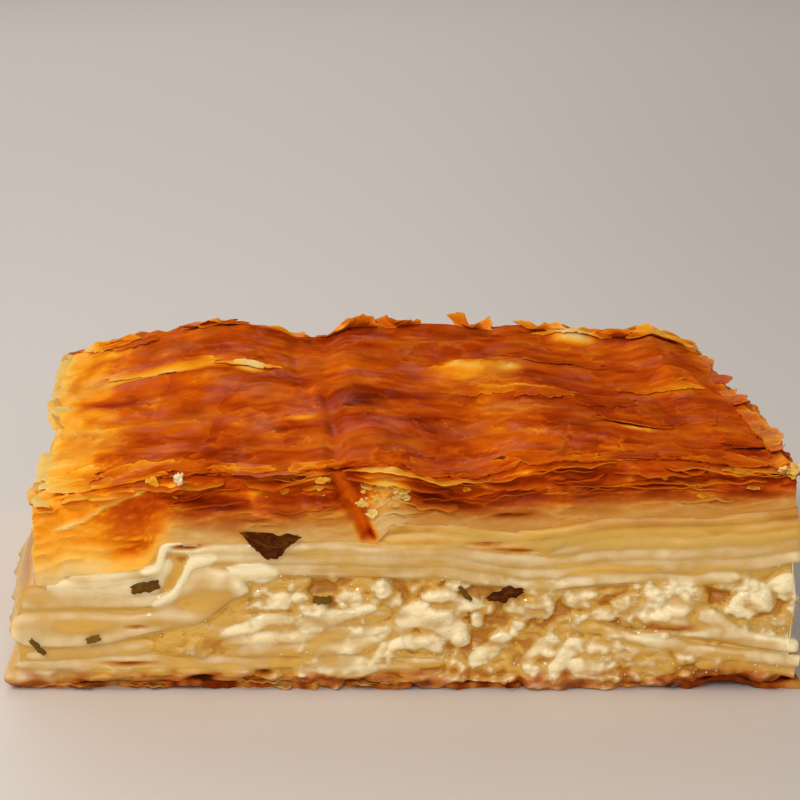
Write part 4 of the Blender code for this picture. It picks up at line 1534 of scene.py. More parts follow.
@dataclass
class CrispTop:
    """The browned top: one wrinkled body and the thin crisp leaves that it splits into."""

    left: float = -49.4
    right: float = 51.3
    columns: int = 320
    rows: int = 186
    levels: int = 26
    seam_front: float = -9.2
    seam_back: float = -13.6
    crack_width: float = 1.9
    crack_depth: float = 2.2
    leaves_a_side: int = 34
    underside: list[Point] = field(default_factory=lambda: [
        (-50, 14.7), (-46.2, 14.7), (-45, 16), (-38, 16.4), (-34.6, 17), (-33.4, 18.4), (-32.6, 20),
        (-31.6, 20.5), (-29.5, 20.6)])
    front_top: list[Point] = field(default_factory=lambda: [
        (-49.6, 24.6), (-43, 26.4), (-39, 27.3), (-30, 28.8), (-22, 29.2), (-14, 29.3), (-10, 30.2),
        (-4, 30.3), (-1, 29.6), (4.4, 28.6), (9, 28.4), (15, 30.2), (20, 30.9), (36, 31), (44, 30.4),
        (49, 30), (51.4, 31.2)])
    back_top: list[Point] = field(default_factory=lambda: [
        (-49.6, 27.2), (-44, 28.2), (-36, 29.6), (-26, 31), (-21, 31.3), (-15, 30.5), (-12.5, 29.9),
        (-8, 30.2), (-5, 31.8), (7, 32), (22, 31.6), (28, 30.4), (33, 29.2), (39, 29.2), (43, 30.4),
        (48, 29), (51.4, 27.8)])
    single_flakes: list[tuple[float, float, float, float, float]] = field(default_factory=lambda: [
        (-38, 0.05, 7.5, 0.6, -0.12), (-29, 0.05, 6.5, 0.5, -0.05), (-22, 0.03, 5, 0.5, -0.1),
        (-44, 0.1, 4.5, 0.4, -0.1), (31.5, 0.95, 5.5, 0.6, -0.2), (-19.5, 0.67, 4.4, 0.4, -0.2),
        (45, 0.95, 5, 0.6, -0.2), (-11.5, 0.03, 3.6, 0.6, -0.15), (19, 0.03, 7, 0.3, -0.06),
        (30, 0.05, 7.5, 0.35, 0.04), (7, 0.05, 7, 0.4, 0), (41, 0.04, 7, 0.4, -0.05),
        (-5, 0.97, 4, 1.3, -0.2), (3, 0.98, 3.4, 1.2, -0.15), (15, 0.975, 3, 1.3, -0.25),
        (26, 0.97, 3.6, 0.8, -0.3), (38, 0.96, 3.6, 1, -0.1), (-26, 0.975, 4.5, 0.6, 0),
        (-42, 0.97, 4, 0.6, -0.1)])
    ridges: list[Patch] = field(default_factory=lambda: [Patch(*row) for row in (
        (-30, 0.64, 15, 0.05, 0.9), (31, 0.93, 6, 0.05, 1.1), (10, 0.97, 8, 0.06, 0.7),
        (14, 0.66, 9, 0.07, 0.7), (-38, 0.3, 9, 0.12, 0.7), (30, 0.27, 8, 0.05, 0.5),
        (-24, 0.93, 8, 0.08, 0.6), (44, 0.62, 5, 0.1, 0.6), (-2, 0.4, 12, 0.06, -0.6),
        (35, 0.31, 3, 0.04, -0.5), (20, 0.48, 14, 0.05, 0.5))])
    toasts: list[Patch] = field(default_factory=lambda: [Patch(*row) for row in (
        (-41, 0.08, 6, 0.06, 0.26), (-41, 0.55, 7, 0.05, 0.3), (-32, 0.7, 15, 0.07, -0.46),
        (-19.5, 0.66, 4, 0.06, -0.6), (-27, 0.6, 6, 0.05, -0.2), (-14, 0.35, 4, 0.025, -0.35),
        (0, 0.93, 34, 0.09, 0.16), (-4.9, 1, 3.5, 0.05, -0.5), (13.5, 0.64, 10, 0.15, -0.34),
        (11, 0.68, 2.6, 0.035, -0.4), (19.5, 0.66, 2.8, 0.035, -0.45), (21, 0.5, 11, 0.035, -0.26),
        (31, 0.93, 5.5, 0.07, -0.95), (44, 0.97, 6, 0.07, -0.3), (32, 0.26, 4, 0.025, -0.4),
        (33.5, 0.31, 2.4, 0.025, 0.5), (-3, 0.47, 10, 0.06, 0.25), (36, 0.12, 16, 0.1, 0.08),
        (-20, 0.2, 14, 0.14, 0.1), (34, 0.42, 9, 0.05, 0.16))])
    creases: list[tuple[float, float, float, float]] = field(default_factory=lambda: [
        (-36, -27.5, 0.9, 0), (-33, -22, 0.72, 0.05)])
    crease: list[Point] = field(default_factory=lambda: [
        (-46.5, 21.8), (-43, 23), (-38.5, 25.6), (-34, 27.6), (-29.5, 27.7)])
    chip_spots: list[tuple[float, float, float, float, int, float]] = field(default_factory=lambda: [
        (-6, 0.2, 25.2, 28.6, 26, 0.2), (-12.6, -10.2, 26.4, 29.4, 8, 0.4),
        (-5, 1, 22.8, 25.2, 6, 0.16), (48.6, 50.8, 29.4, 30.8, 8, 0.22), (-45, 50, 26, 29, 10, 0.5)])

    def crack_x(self, z: float) -> float:
        """Place of the crack's middle at a height of the front wall."""
        return at([(19.0, -4.4), (21.4, -5.2), (26.0, -7.4), (28.9, -9.0), (33.0, -9.4)], z)

    def floor(self, x: float) -> float:
        """Height of the underside, on the sheets below.

        Args:
            x: place across, mm.

        Returns:
            The height, mm.
        """
        if x <= -29.5:
            return at(self.underside, x)
        left = SHEET["upper_sheet_4"].face_height(x, 1, 0.1)
        if x <= -5.0:
            return left
        share = smooth((x + 5.0) / 3.6)
        return left * (1 - share) + SHEET["upper_sheet_1"].face_height(x, 1, 0.1) * share

    def toast_at(self, x: float, v: float) -> float:
        """How browned the top is at a place, 0 pale to 1 dark.

        Args:
            x: place across, mm.
            v: depth share.

        Returns:
            The browning.
        """
        y = v * SliceSpace.depth
        toast = 0.74 + 0.16 * wobble(x / 10, y / 7, 5.0) + 0.14 * wobble(x / 3.4, y / 2.6, 8.0)
        # Golden toward the left edge: lighter browning and a painted glow of the light from behind
        border = -43.5 + 4.0 * wobble(y / 9, 3.0) + 2.0 * wobble(y / 3.1, x / 4, 7.0)
        edge = smooth((x - border) / 8.0)
        golden = 0.29 + 0.2 * wobble(x / 3, y / 5, 1.0) + 0.16 * smooth((x + 49) / 5)
        toast = toast * edge + golden * (1 - edge)
        toast -= 0.2 * smooth((x - 48.0) / 3.5)
        return clamp(toast + all_at(self.toasts, x, v), 0.02, 0.9)

    def relief(self, x: float, v: float) -> tuple[float, float]:
        """Fine height, browning and painted highlight of the top's wrinkles, tears and blisters.

        Args:
            x: place across, mm.
            v: depth share.

        Returns:
            The height to add, mm, and the browning to add, with the painted highlight.
        """
        y = v * SliceSpace.depth
        fold = 1 - abs(2 * wobble(x / 8.5, y / 5.5, 3.3))
        crease = 1 - abs(2 * wobble(x / 3.6 + 4, y / 2.6, 6.1))
        height = 0.3 * fold ** 3 + 0.14 * crease ** 4 + 0.08 * wobble(x / 1.1, y / 1.1, 2.0)
        browning = 0.06 * fold ** 2 - 0.05 * crease ** 4
        for size, level, deep, shade, key in ((11, 0.1, 0.26, -0.1, 9.5), (6.5, 0.2, 0.2, 0.08, 4.5)):
            tear = wobble(x / size + key, y / size, key) + 0.25 * wobble(x / 2.2, y / 2.2, key)
            tear += 0.08 * wobble(x / 0.8, y / 0.8, key)
            peeled = smooth((tear - level) * 22)
            lip = bump((tear - level + 0.02) * 18)
            height += 0.1 * lip - deep * peeled
            # Raised tear lips are paler: painted highlight
            browning += shade * peeled - 0.14 * lip
        near = 0.5 + 0.5 * math.exp(-v * 5)
        return height * near, browning * near

    def top(self, x: float, v: float) -> float:
        """Height of the top, as the solid has it.

        Args:
            x: place across, mm.
            v: depth share.

        Returns:
            The height, mm.
        """
        seam = self.seam_front + (self.seam_back - self.seam_front) * v
        height = at(self.front_top, x) * (1 - v) + at(self.back_top, x) * v
        height += 0.5 * wobble(x / 15, v * SliceSpace.depth / 7, 4.0) * min(1, 6 * v)
        height += all_at(self.ridges, x, v)
        return height - (0.25 + 0.25 * wobble(v * 9, 2.0)) * bump((x - seam) / 1.7)

    def wall_toast(self, along: float, w: float, side: Side) -> float:
        """How browned a cut wall is, pale and amber below and darker above.

        Args:
            along: place along the wall, mm.
            w: share of the wall's height.
            side: which wall.

        Returns:
            The browning, 0 to 1.
        """
        right = smooth((along + 6) / 14) if side is Side.FRONT else 0.5
        toast = 0.24 + 0.14 * right + (0.5 - 0.14 * right) * smooth(w * (1.5 + 0.6 * right) - 0.15)
        toast -= 0.08 * smooth((w - 0.8) * 5)
        toast += 0.16 * wobble(along / 6, w * 6, 3.0)
        if side is Side.FRONT:
            # Golden toward the left end: lighter browning and a painted glow of the light from behind
            golden = 1 - smooth((along + 45) / 13)
            toast += golden * (0.04 + 0.3 * smooth(w * 2.0) - toast) * 0.9
            toast += 0.16 * bump((along + 2) / 18) * bump((w - 0.55) / 0.5)
            toast += 0.26 * bump((along + 36) / 5) * bump((w - 0.25) / 0.25)
            toast += (0.14 - toast) * 0.95 * bump((along + 2.6) / 5.0) * smooth(2.6 - 2.2 * w)
            toast += (0.36 - toast) * 0.8 * bump((along + 11.8) / 3) * bump((w - 0.9) / 0.3)
            toast += 0.2 * bump((along + 22) / 13) * bump((w - 0.4) / 0.4)
        if side is Side.LEFT:
            # The left wall is pale cream, as painted glow of the light from behind
            toast = 0.1 + 0.2 * w + 0.12 * wobble(along / 6, w * 4, 6.0)
        return clamp(toast, 0.02, 0.98)

    def moist_at(self, along: float, w: float, side: Side) -> float:
        """How much the lower part of a wall has stayed moist and dull.

        Args:
            along: place along the wall, mm.
            w: share of the wall's height.
            side: the wall.

        Returns:
            The moistness, 0 to 1.
        """
        if side is Side.LEFT:
            return 0.3
        amount = 1 - smooth((w - 0.18) / 0.5)
        if side is Side.FRONT:
            amount *= smooth((along + 34) / 5) + (1 - smooth((along + 46) / 6)) * smooth(1 - 3 * w)
        return clamp(amount + 0.15 * wobble(along / 5, w * 4, 8.0), 0.0, 1.0)

    def layer_ridge(self, x: float, z: float, v: float) -> float:
        """Ridges of the crisp layers on the front and back wall.

        Args:
            x: place across, mm.
            z: height, mm.
            v: depth share.

        Returns:
            0 between the ridges, up to 1 on one.
        """
        bend = z + 1.1 * wobble(x / 12, v * 7, 3.0) + 0.5 * wobble(x / 3.6, z / 3, 1.5)
        first = 1 - abs(2 * wobble(x / 10, bend / 1.5, 7.0 + 9 * round(v)))
        second = 1 - abs(2 * wobble(x / 5 + 3, bend / 0.8, 2.0 + 9 * round(v)))
        return 0.7 * max(first, 0.0) ** 4 + 0.3 * max(second, 0.0) ** 5

    def split(self, x: float, z: float) -> float:
        """Share of the crack's depth at a place of the front wall.

        Args:
            x: place across, mm.
            z: height, mm.

        Returns:
            0 outside the crack to 1 in its middle.
        """
        width = self.crack_width * (0.5 + 0.5 * smooth((z - 20) / 6))
        width *= 1 + 0.5 * wobble(z * 1.1, 4.0)
        middle = self.crack_x(z) + 0.5 * wobble(z * 0.9, 7.0)
        return bump((x - middle) / width) * smooth((z - 20.2) / 0.8)

    def pale_edge(self, x: float, z: float) -> float:
        """Share of the raised pale edge that climbs the front wall at the left."""
        pale = bump((z - at(self.crease, x) - 0.3 * wobble(x / 1.7, 5.0)) / 0.7)
        return pale * smooth((-28.5 - x) / 2) * smooth((x + 47.5) / 2)

    def wall_relief(self, x: float, z: float, v: float, w: float,
                    layers: float) -> tuple[float, float]:
        """How far the walls stand back at a place.

        Args:
            x: place across, mm.
            z: height, mm.
            v: depth share.
            w: share of the wall's height.
            layers: the ridge of the crisp layers there.

        Returns:
            The setback of the front and back walls and that of the side walls, mm.
        """
        band = z * 1.25 + 0.9 * wobble(x / 11, v * 9, 2.0)
        deep = (0.12 + 0.5 * w) * smooth(w * 3)
        lip = 0.25 * deep * (1 - (2 * (band % 1.0) - 1) ** 2)
        brink = 0.5 * (1 - rounding((1 - w) * 8, 0.9))
        inset = 0.45 + 0.3 * smooth(w * 3) + 1.2 * w * w - lip + brink
        inset += deep * wobble(x / 9, math.floor(band) * 2.3 + 5 * round(v), 8.0)
        inset += 0.12 * wobble(x / 1.3, z * 1.5, 7.0) - 0.6 * (layers - 0.4) * smooth(w * 3.5)
        if v < 0.5:
            inset += 1.5 * bump((x + 36.5) / 4.5) * bump((z - 18.6) / 2.2)
            inset += 0.6 * bump((x - 13.8) / 4.6) * bump((z - 24.0) / 0.5)
            inset += self.crack_depth * self.split(x, z) ** 0.6 - 0.6 * self.pale_edge(x, z)
        side = 0.5 * wobble(v * 9, math.floor(band) * 2.3 + 21, 8.0) + lip - 0.3 - brink
        return inset, side

    def wall_paint(self, x: float, z: float, v: float, w: float,
                   layers: float) -> tuple[float, float]:
        """Paint of a place on the walls.

        Args:
            x: place across, mm.
            z: height, mm.
            v: depth share.
            w: share of the wall's height.
            layers: the ridge of the crisp layers there.

        Returns:
            The browning and the moistness.
        """
        if min(v, 1 - v) * SliceSpace.depth <= min(x - self.left, self.right - x):
            wall, along = Side.FRONT if v < 0.5 else Side.BACK, x
        else:
            wall, along = Side.LEFT if x < 0 else Side.RIGHT, v * SliceSpace.depth
        calm = 0.3 + 0.7 * smooth((x + 44) / 10)
        toast = self.wall_toast(along, w, wall) + (0.12 - 0.4 * layers) * smooth(w * 3.0) * calm
        moist = self.moist_at(along, w, wall)
        if v < 0.5:
            # Inside the crack the wall takes one set browning, darker at its hook: browning with
            # painted shade
            crack = min(1.0, 1.6 * bump((x - self.crack_x(z)) / 2.0)) * smooth(z - 20)
            hook = bump((x + 4.6) / 1.6) * bump((z - 21.3) / 1.2)
            toast += (0.6 + 0.36 * hook - toast) * crack - 0.3 * self.pale_edge(x, z)
            # Darker where the wall is pressed in near x 13.8: painted shade in that groove
            toast += 0.4 * bump((x - 13.8) / 4.6) * bump((z - 24.0) / 0.6)
            moist *= 1 - crack
        return toast, moist

    def body(self, material: Material) -> Object:
        """Build the wrinkled body with layered walls and the crack at its front.

        Args:
            material: its finish.

        Returns:
            The body's object.
        """
        skin = Skin()
        rim_rows = [0.9 * distance for distance in ROUND_RIM[:-1]]
        shares = depth_rows(rim_rows, self.rows - 2 * (len(rim_rows) - 1))
        width = self.right - self.left
        xs = [self.left + width * i / self.columns for i in range(self.columns + 1)]
        floors = [self.floor(x) - 0.3 for x in xs]

        def corner(i: int, j: int, k: int) -> int:
            """Add one corner of the body.

            Args:
                i: its column.
                j: its row.
                k: its layer.

            Returns:
                The point's index.
            """
            x, v, w, crown = xs[i], shares[j], k / self.levels, k == self.levels
            rim = min(v, 1 - v) * SliceSpace.depth
            side = min(x - self.left, self.right - x)
            front = math.exp(-rim / 2.2)
            soft, browning = self.relief(x, v) if crown else (0.0, 0.0)
            high = self.top(x, v) - 0.35 * (1 - rounding(min(rim, side), 0.8))
            high += soft * smooth(min(rim, side) / 1.5)
            z = floors[i] + (high - floors[i]) * w
            layers = self.layer_ridge(x, z, v)
            inset, back = self.wall_relief(x, z, v, w, layers)
            if crown:
                toast = self.toast_at(x, v) + browning
                toast += (self.wall_toast(x, 1.0, Side.FRONT) - toast) * 0.5 * front
                moist = 0.25 * smooth(wobble(x / 8, v * 9, 2.0) * 3)
                z -= 0.8 * self.split(x, z) * (v < 0.5)
            else:
                toast, moist = self.wall_paint(x, z, v, w, layers)
            across = back * math.exp(-side / 2.0) * ((x > 0) - (x < 0))
            return skin.add(SliceSpace.place(x + across, z, v, inset * front), toast, moist)

        skin.block(self.columns, len(shares) - 1, self.levels, corner, plain_floor=True)
        return skin.piece("crisp_top_body", material)

    def wall_place(self, side: Side, along: float, w: float, out: float, rise: float) -> Vector:
        """Place a point of a leaf that stands out of a wall.

        Args:
            side: the wall.
            along: place along the wall, mm: x for front and back, depth for the other two.
            w: share of the wall's height.
            out: how far outside the wall, mm; below 0 is inside.
            rise: height to add, mm.

        Returns:
            The place in the frame.
        """
        if side in (Side.FRONT, Side.BACK):
            v = float(side is Side.BACK)
            low, high = self.floor(along), self.top(along, v)
            return SliceSpace.place(along, low + (high - low) * w + rise, v, -out)
        v = clamp(along / SliceSpace.depth)
        x = self.left if side is Side.LEFT else self.right
        low, high = self.floor(x), self.top(x, v)
        spot = SliceSpace.place(x, low + (high - low) * w + rise, v)
        spot.x += (-out if side is Side.LEFT else out) * MM
        return spot

    def leaf(self, skin: Skin, side: Side, start: float, end: float, w: float,
             rng: random.Random, tilt: float = 0.0) -> None:
        """Add one thin crisp leaf with a torn edge to a wall.

        Args:
            skin: the skin to add it to.
            side: the wall.
            start: where it starts along the wall, mm.
            end: where it ends.
            w: share of the wall's height.
            rng: its own chance.
            tilt: how far it rises from its middle to its end, as a share of the wall.
        """
        key = rng.uniform(0, 99)
        count = max(8, round((end - start) / 0.36))
        reach = rng.uniform(-0.7, 0.7) + 0.3 * w - 3 * abs(tilt)
        curl = rng.uniform(-0.45, 0.45) + 0.2 * (w > 0.9)
        tilt += rng.uniform(-0.05, 0.05)
        thick = rng.uniform(0.07, 0.14)
        shade = rng.uniform(-0.14, 0.1)
        plate = Plate(skin)
        for i in range(count + 1):
            t = i / count
            along = start + (end - start) * t
            taper = math.sin(math.pi * t) ** 0.45
            level = w + tilt * (2 * t - 1) + 0.05 * wobble(along / 5, key)
            torn = 0.5 * wobble(along / 2.6, key, 1.0) + 0.35 * wobble(along / 0.9, key, 2.0)
            outer = (reach + torn) * taper - 1.2 * (1 - taper)
            moist = 0.8 * self.moist_at(along, level, side)
            plate.start_row()
            for share in (0.0, 0.35, 0.6, 0.8, 0.92, 1.0):
                out = -2.6 + (outer + 2.6) * share
                hang = curl * share ** 3 * (1 + 0.9 * wobble(along / 3, key, 5.0))
                hang += 0.5 * wobble(along / 3.4, key, 8.0) + 0.3 * wobble(along / 1.5, out / 2, key)
                half = thick * (1.0 if share < 0.9 else 0.6) * (0.4 + 0.6 * taper)
                toast = self.wall_toast(along, level, side) + shade
                # The leaf's outer edge is paler: painted highlight
                toast -= 0.08 * smooth((share - 0.7) / 0.3)
                pair = [self.wall_place(side, along, level, out, hang + offset)
                        for offset in (half, -half)]
                plate.add(pair, clamp(toast, 0.05, 0.84), moist)
        plate.close()

    def leaves(self, side: Side, seed: int, material: Material) -> Object:
        """Build all leaves of one wall as one piece.

        Args:
            side: the wall.
            seed: picks the leaves.
            material: their finish.

        Returns:
            The leaves' object.
        """
        rng = random.Random(seed)
        skin = Skin()
        wide = side in (Side.FRONT, Side.BACK)
        first, last = (self.left + 0.3, self.right - 0.2) if wide else (0.8, 85.2)
        for index in range(self.leaves_a_side):
            w = 1 - 0.72 * (rng.random() ** 1.5) if index % 4 else rng.uniform(0.9, 1.0)
            length = rng.uniform(4, 10) if index % 3 else rng.uniform(10, 26)
            start = rng.uniform(first - 4, last - length * 0.5)
            end = min(start + length, last)
            start = max(start, first)
            if side is Side.FRONT:
                start, end = self.beside_crack(start, end, w)
            if end - start > 2.5 and (w > 0.5 or start > -34 or side is not Side.FRONT):
                self.leaf(skin, side, start, end, w, rng)
        for start, end, w, tilt in self.creases if side is Side.FRONT else ():
            self.leaf(skin, side, start, end, w, rng, tilt)
        return skin.piece(f"crisp_leaves_{side.value}", material)

    def beside_crack(self, start: float, end: float, w: float) -> tuple[float, float]:
        """Cut a front leaf off at the crack.

        Args:
            start: its first end, mm.
            end: its last end, mm.
            w: share of the wall's height.

        Returns:
            The ends of its longer part, or its own where it doesn't reach the crack.
        """
        low, high = self.floor(-6.5), self.top(-6.5, 0.0)
        crack = self.crack_x(low + (high - low) * w)
        if not start < crack < end:
            return start, end
        return (start, crack - 0.7) if crack - start > end - crack else (crack + 0.7, end)

    def scale(self, skin: Skin, x: float, v: float, radius: float, lift: float,
              shade: float, rng: random.Random) -> None:
        """Add one loose thin flake that lies on the top.

        Args:
            skin: the skin to add it to.
            x: its middle across, mm.
            v: its middle's depth share.
            radius: about half its length, mm.
            lift: how far its edges stand up, mm.
            shade: how much darker it is than the top there.
            rng: its own chance.
        """
        key = rng.uniform(0, 99)
        squash = rng.uniform(0.4, 0.8)
        spin = rng.uniform(-0.5, 0.5)
        rings, spokes = 7, 84
        plate = Plate(skin)
        for ring in range(rings + 1):
            share = max(ring / rings, 0.02)
            plate.start_row()
            for spoke in range(spokes):
                c, s = math.cos(math.tau * spoke / spokes), math.sin(math.tau * spoke / spokes)
                edge = 1 + 0.55 * wobble(c * 1.3 + key, s * 1.3) + 0.3 * wobble(c * 4 + key, s * 4)
                edge += 0.14 * wobble(c * 11 + key, s * 11)
                reach = radius * edge * share
                a, b = c * reach, s * reach * squash
                px = x + a * math.cos(spin) - b * math.sin(spin)
                py = v * SliceSpace.depth + a * math.sin(spin) + b * math.cos(spin)
                pv = clamp(py / SliceSpace.depth, 0.004, 0.996)
                px = clamp(px, self.left + 0.6, self.right - 0.5)
                raised = 0.1 + lift * share ** 3 * max(0.0, 0.6 + 1.6 * wobble(c + key, s, 3.0))
                raised += 0.05 * wobble(px / 1.1, py / 1.1, key)
                soft, browning = self.relief(px, pv)
                height = self.top(px, pv) + soft * 0.8 + raised
                inset = 1.95 * math.exp(-min(py, SliceSpace.depth - py) / 2.2)
                toast = self.toast_at(px, pv) + 0.6 * browning + shade
                # The flake's rim is paler: painted highlight
                toast -= 0.12 * smooth((share - 0.84) * 6)
                pair = [SliceSpace.place(px, height + half, pv, inset) for half in (0.05, -0.05)]
                plate.add(pair, clamp(toast, 0.03, 0.86))
        plate.close_rings()

    def scales(self, count: int, material: Material) -> Object:
        """Build the loose flakes that lie on the top, the ones seen singly first.

        Args:
            count: number of flakes besides those seen singly.
            material: their finish.

        Returns:
            The flakes' object.
        """
        rng = random.Random(5)
        skin = Skin()
        for x, v, radius, lift, shade in self.single_flakes:
            self.scale(skin, x, v, radius, lift, shade, rng)
        for _ in range(count):
            x, v = rng.uniform(-44, 47), rng.uniform(0.03, 0.97)
            self.scale(skin, x, v, rng.uniform(3.5, 8.0), rng.uniform(0.05, 0.3),
                       rng.uniform(-0.12, 0.08), rng)
        return skin.piece("crisp_scales", material)

    def chip(self, skin: Skin, middle: Vector, size: float, toast: float,
             rng: random.Random) -> None:
        """Add one small crumbled bit of crust.

        Args:
            skin: the skin to add it to.
            middle: its middle in the frame.
            size: half its length, mm.
            toast: how browned it is.
            rng: its own chance.
        """
        key = rng.uniform(0, 99)
        turn = Euler((rng.uniform(0.3, 1.3), rng.uniform(-0.3, 0.3),
                      rng.uniform(-0.5, 0.5))).to_matrix()
        spokes = 14
        plate = Plate(skin)
        for share in (0.06, 0.6, 1.0):
            plate.start_row()
            for spoke in range(spokes):
                c, s = math.cos(math.tau * spoke / spokes), math.sin(math.tau * spoke / spokes)
                reach = size * share * (1 + 0.7 * wobble(c * 1.4 + key, s * 1.4))
                rise = 0.5 * size * wobble(c * share * 1.5 + key, s * share * 1.5, 3.0)
                pair = [middle + turn @ Vector((c * reach, s * reach * 0.65, rise + half)) * MM
                        for half in (0.07, -0.07)]
                plate.add(pair, toast - 0.12 * share)
        plate.close_rings()

    def chips(self, material: Material) -> Object:
        """Build the crumbled bits beside the crack, on the wall and at the right corner.

        Args:
            material: their finish.

        Returns:
            The bits' object.
        """
        rng = random.Random(31)
        skin = Skin()
        for left, right, low, high, count, toast in self.chip_spots:
            for _ in range(count):
                x, z = rng.uniform(left, right), rng.uniform(low, high)
                middle = SliceSpace.place(x, z, 0.0, rng.uniform(0.4, 1.6))
                size = rng.uniform(0.25, 0.9)
                self.chip(skin, middle, size, toast + rng.uniform(-0.08, 0.1), rng)
        return skin.piece("crisp_chips", material)


# ---------------- browned base


@dataclass
class CrispBase:
    """The thin browned base: a crinkled sheet with curled edges and low arches."""

    left: float = -51.4
    right: float = 52.6
    thickness: float = 1.0
    columns: int = 360
    front_curls: int = 20
    back_curls: int = 10
    arches: list[Triple] = field(default_factory=lambda: [
        (-29, 5.0, 0.55), (2.5, 5.0, 0.5), (19.5, 4.5, 0.6), (42.6, 5.6, 1.1)])

    @staticmethod
    def covered(x: float) -> float:
        """Share to which dough and cheese hang down over the base's front at x."""
        flap = smooth((x - 14.5) / 2) * smooth((37.5 - x) / 2)
        return max(smooth(3.5 * wobble(x / 6.5, 5.0) - 0.4), flap)

    def toast(self, x: float, v: float) -> float:
        """How browned the base is, darkest in spots along its front, with painted shade over its
        arches.

        Args:
            x: place across, mm.
            v: depth share.

        Returns:
            The browning.
        """
        spots = 0.35 * wobble(x / 4.5, v * 18, 3.0) + 0.25 * wobble(x / 1.6, v * 50, 6.0)
        # Darker at the front over the low arches: painted shade in the gaps under them
        dark = 0.8 * bump((x - 42.5) / 8) + 0.3 * bump((x + 28) / 7) + 0.25 * bump((x - 5) / 8)
        dark += 0.12 * smooth(x / 10)
        return clamp(0.64 + 1.8 * spots + dark * (v < 0.3), 0.1, 1.0)

    def build(self, material: Material) -> Object:
        """Build the base as one closed crinkled slab.

        Args:
            material: its finish.

        Returns:
            The base's object.
        """
        skin = Skin()
        plate = Plate(skin)
        rows = depth_rows(ROUND_RIM, 60)
        for i in range(self.columns + 1):
            x = self.left + (self.right - self.left) * i / self.columns
            end = rounding(min(x - self.left, self.right - x), 0.8)
            plate.start_row()
            for v in rows:
                rim = min(v, 1 - v) * SliceSpace.depth
                front = math.exp(-rim / 2.5)
                arch = sum(rise * bump((x - middle) / half) for middle, half, rise in self.arches)
                arch *= front * (v < 0.5)
                crinkle = 0.3 * wobble(x / 1.4, v * 40, 1.0) + 0.16 * wobble(x / 0.6, v * 90, 2.0)
                edge = 0.9 + 1.4 * wobble(x / 3.4, 50 + 9 * round(v), 2.7)
                edge += 0.5 * wobble(x / 0.9, round(v), 4.0) + 1.2 * self.covered(x)
                half = self.thickness / 2 * (0.3 + 0.7 * rounding(rim, 1.2)) * end
                half *= 1 + 0.5 * wobble(x / 4.4, 8.0) * front
                high = 0.55 + 0.75 * arch + 0.3 * front * wobble(x / 2.2, 8.0) + half + crinkle
                low = arch + 0.35 * front * max(0.0, wobble(x / 1.8, 3.0))
                pair = [SliceSpace.place(x, max(z, 0.02), v, edge * front) for z in (high, low)]
                plate.add(pair, self.toast(x, v), 1.0)
        plate.close()
        return skin.piece("base_crust_sheet", material)

    def curls(self, material: Material) -> Object:
        """Build the thin curled flakes along the base's edges.

        Args:
            material: their finish.

        Returns:
            The flakes' object.
        """
        rng = random.Random(17)
        skin = Skin()
        for index in range(self.front_curls + self.back_curls):
            v = float(index >= self.front_curls)
            x = rng.uniform(-50, 50 if v else 36)
            length = rng.uniform(2, 8)
            key = rng.uniform(0, 99)
            lift = rng.uniform(-0.3, 0.7)
            low = rng.uniform(0.25, 1.0)
            dark = rng.uniform(-0.35, 0.25)
            count = round(length / 0.3)
            plate = Plate(skin)
            for i in range(count + 1):
                t = i / count
                taper = math.sin(math.pi * t) ** 0.5
                px = clamp(x + length * (t - 0.5), self.left + 0.1, self.right - 0.3)
                plate.start_row()
                for share in (0.0, 0.4, 0.7, 0.9, 1.0):
                    out = -2.4 + (2.4 + 1.3 * wobble(x + i * 0.25, key)) * share * taper
                    out -= self.covered(px)
                    z = low + lift * share ** 2 * (0.6 + 0.9 * wobble(i * 0.25, key, 2.0))
                    z = max(z + 0.35 * wobble(i * 0.4, key, 7.0), 0.16)
                    toast = self.toast(px, v) + dark - 0.12 * smooth((share - 0.8) / 0.2)
                    pair = [SliceSpace.place(px, z + half, v, -out) for half in (0.07, -0.07)]
                    plate.add(pair, clamp(toast, 0.05, 1.0), 1.0)
            plate.close()
        return skin.piece("base_crust_curls", material)


# ---------------- herbs and crumbs


@dataclass(frozen=True)
class HerbLeaf:
    """One baked herb leaf on the front cut: middle, size and slant, mm and degrees."""

    x: float
    z: float
    length: float
    width: float
    slant: float
    taper: float
    forward: float
    olive: float = 0.0

    def build(self, index: int, material: Material) -> Object:
        """Build the leaf as a thin wavy plate with a ragged outline and a vein.

        Args:
            index: its number, which also picks its outline.
            material: its finish.

        Returns:
            The leaf's object.
        """
        skin = Skin()
        columns, rows = 40, 14
        turn = math.radians(self.slant)
        plate = Plate(skin)
        for i in range(columns + 1):
            a = i / columns - 0.5
            narrow = 1 - self.taper * abs(2 * a) ** 1.5
            narrow *= 1 + 0.24 * wobble(a * 7, index, 1.0) + 0.1 * wobble(a * 19, index, 2.0)
            plate.start_row()
            for j in range(rows + 1):
                b = j / rows - 0.5
                along = a * self.length * (1 + 0.24 * wobble(b * 5, index, 4.0))
                along += 0.1 * self.width * wobble(b * 11, index, 6.0) * abs(2 * a)
                across = b * self.width * narrow
                across += 0.5 * self.width * (1 - narrow) * (self.taper > 0.8)
                across += 0.22 * self.width * wobble(a * 4, index, 8.0)
                x = self.x + along * math.cos(turn) - across * math.sin(turn)
                z = self.z + along * math.sin(turn) + across * math.cos(turn)
                vein = bump(b / 0.05) * 0.22 + 0.08 * bump(((a * 6 + abs(b) * 5) % 1 - 0.5) / 0.12)
                ripple = 0.2 * wobble(x * 0.9, z * 0.9, index) + 0.05 * vein
                thin = 0.1 * rounding(min(0.5 - abs(a), 0.5 - abs(b)) * self.width, 0.25) + 0.02
                pair = [SliceSpace.place(x, z, 0.0, 0.1 - self.forward - ripple - half)
                        for half in (thin, -thin)]
                plate.add(pair, self.olive + 0.3 * ripple, vein)
        plate.close()
        return skin.piece(f"herb_leaf_{index}_blade", material)


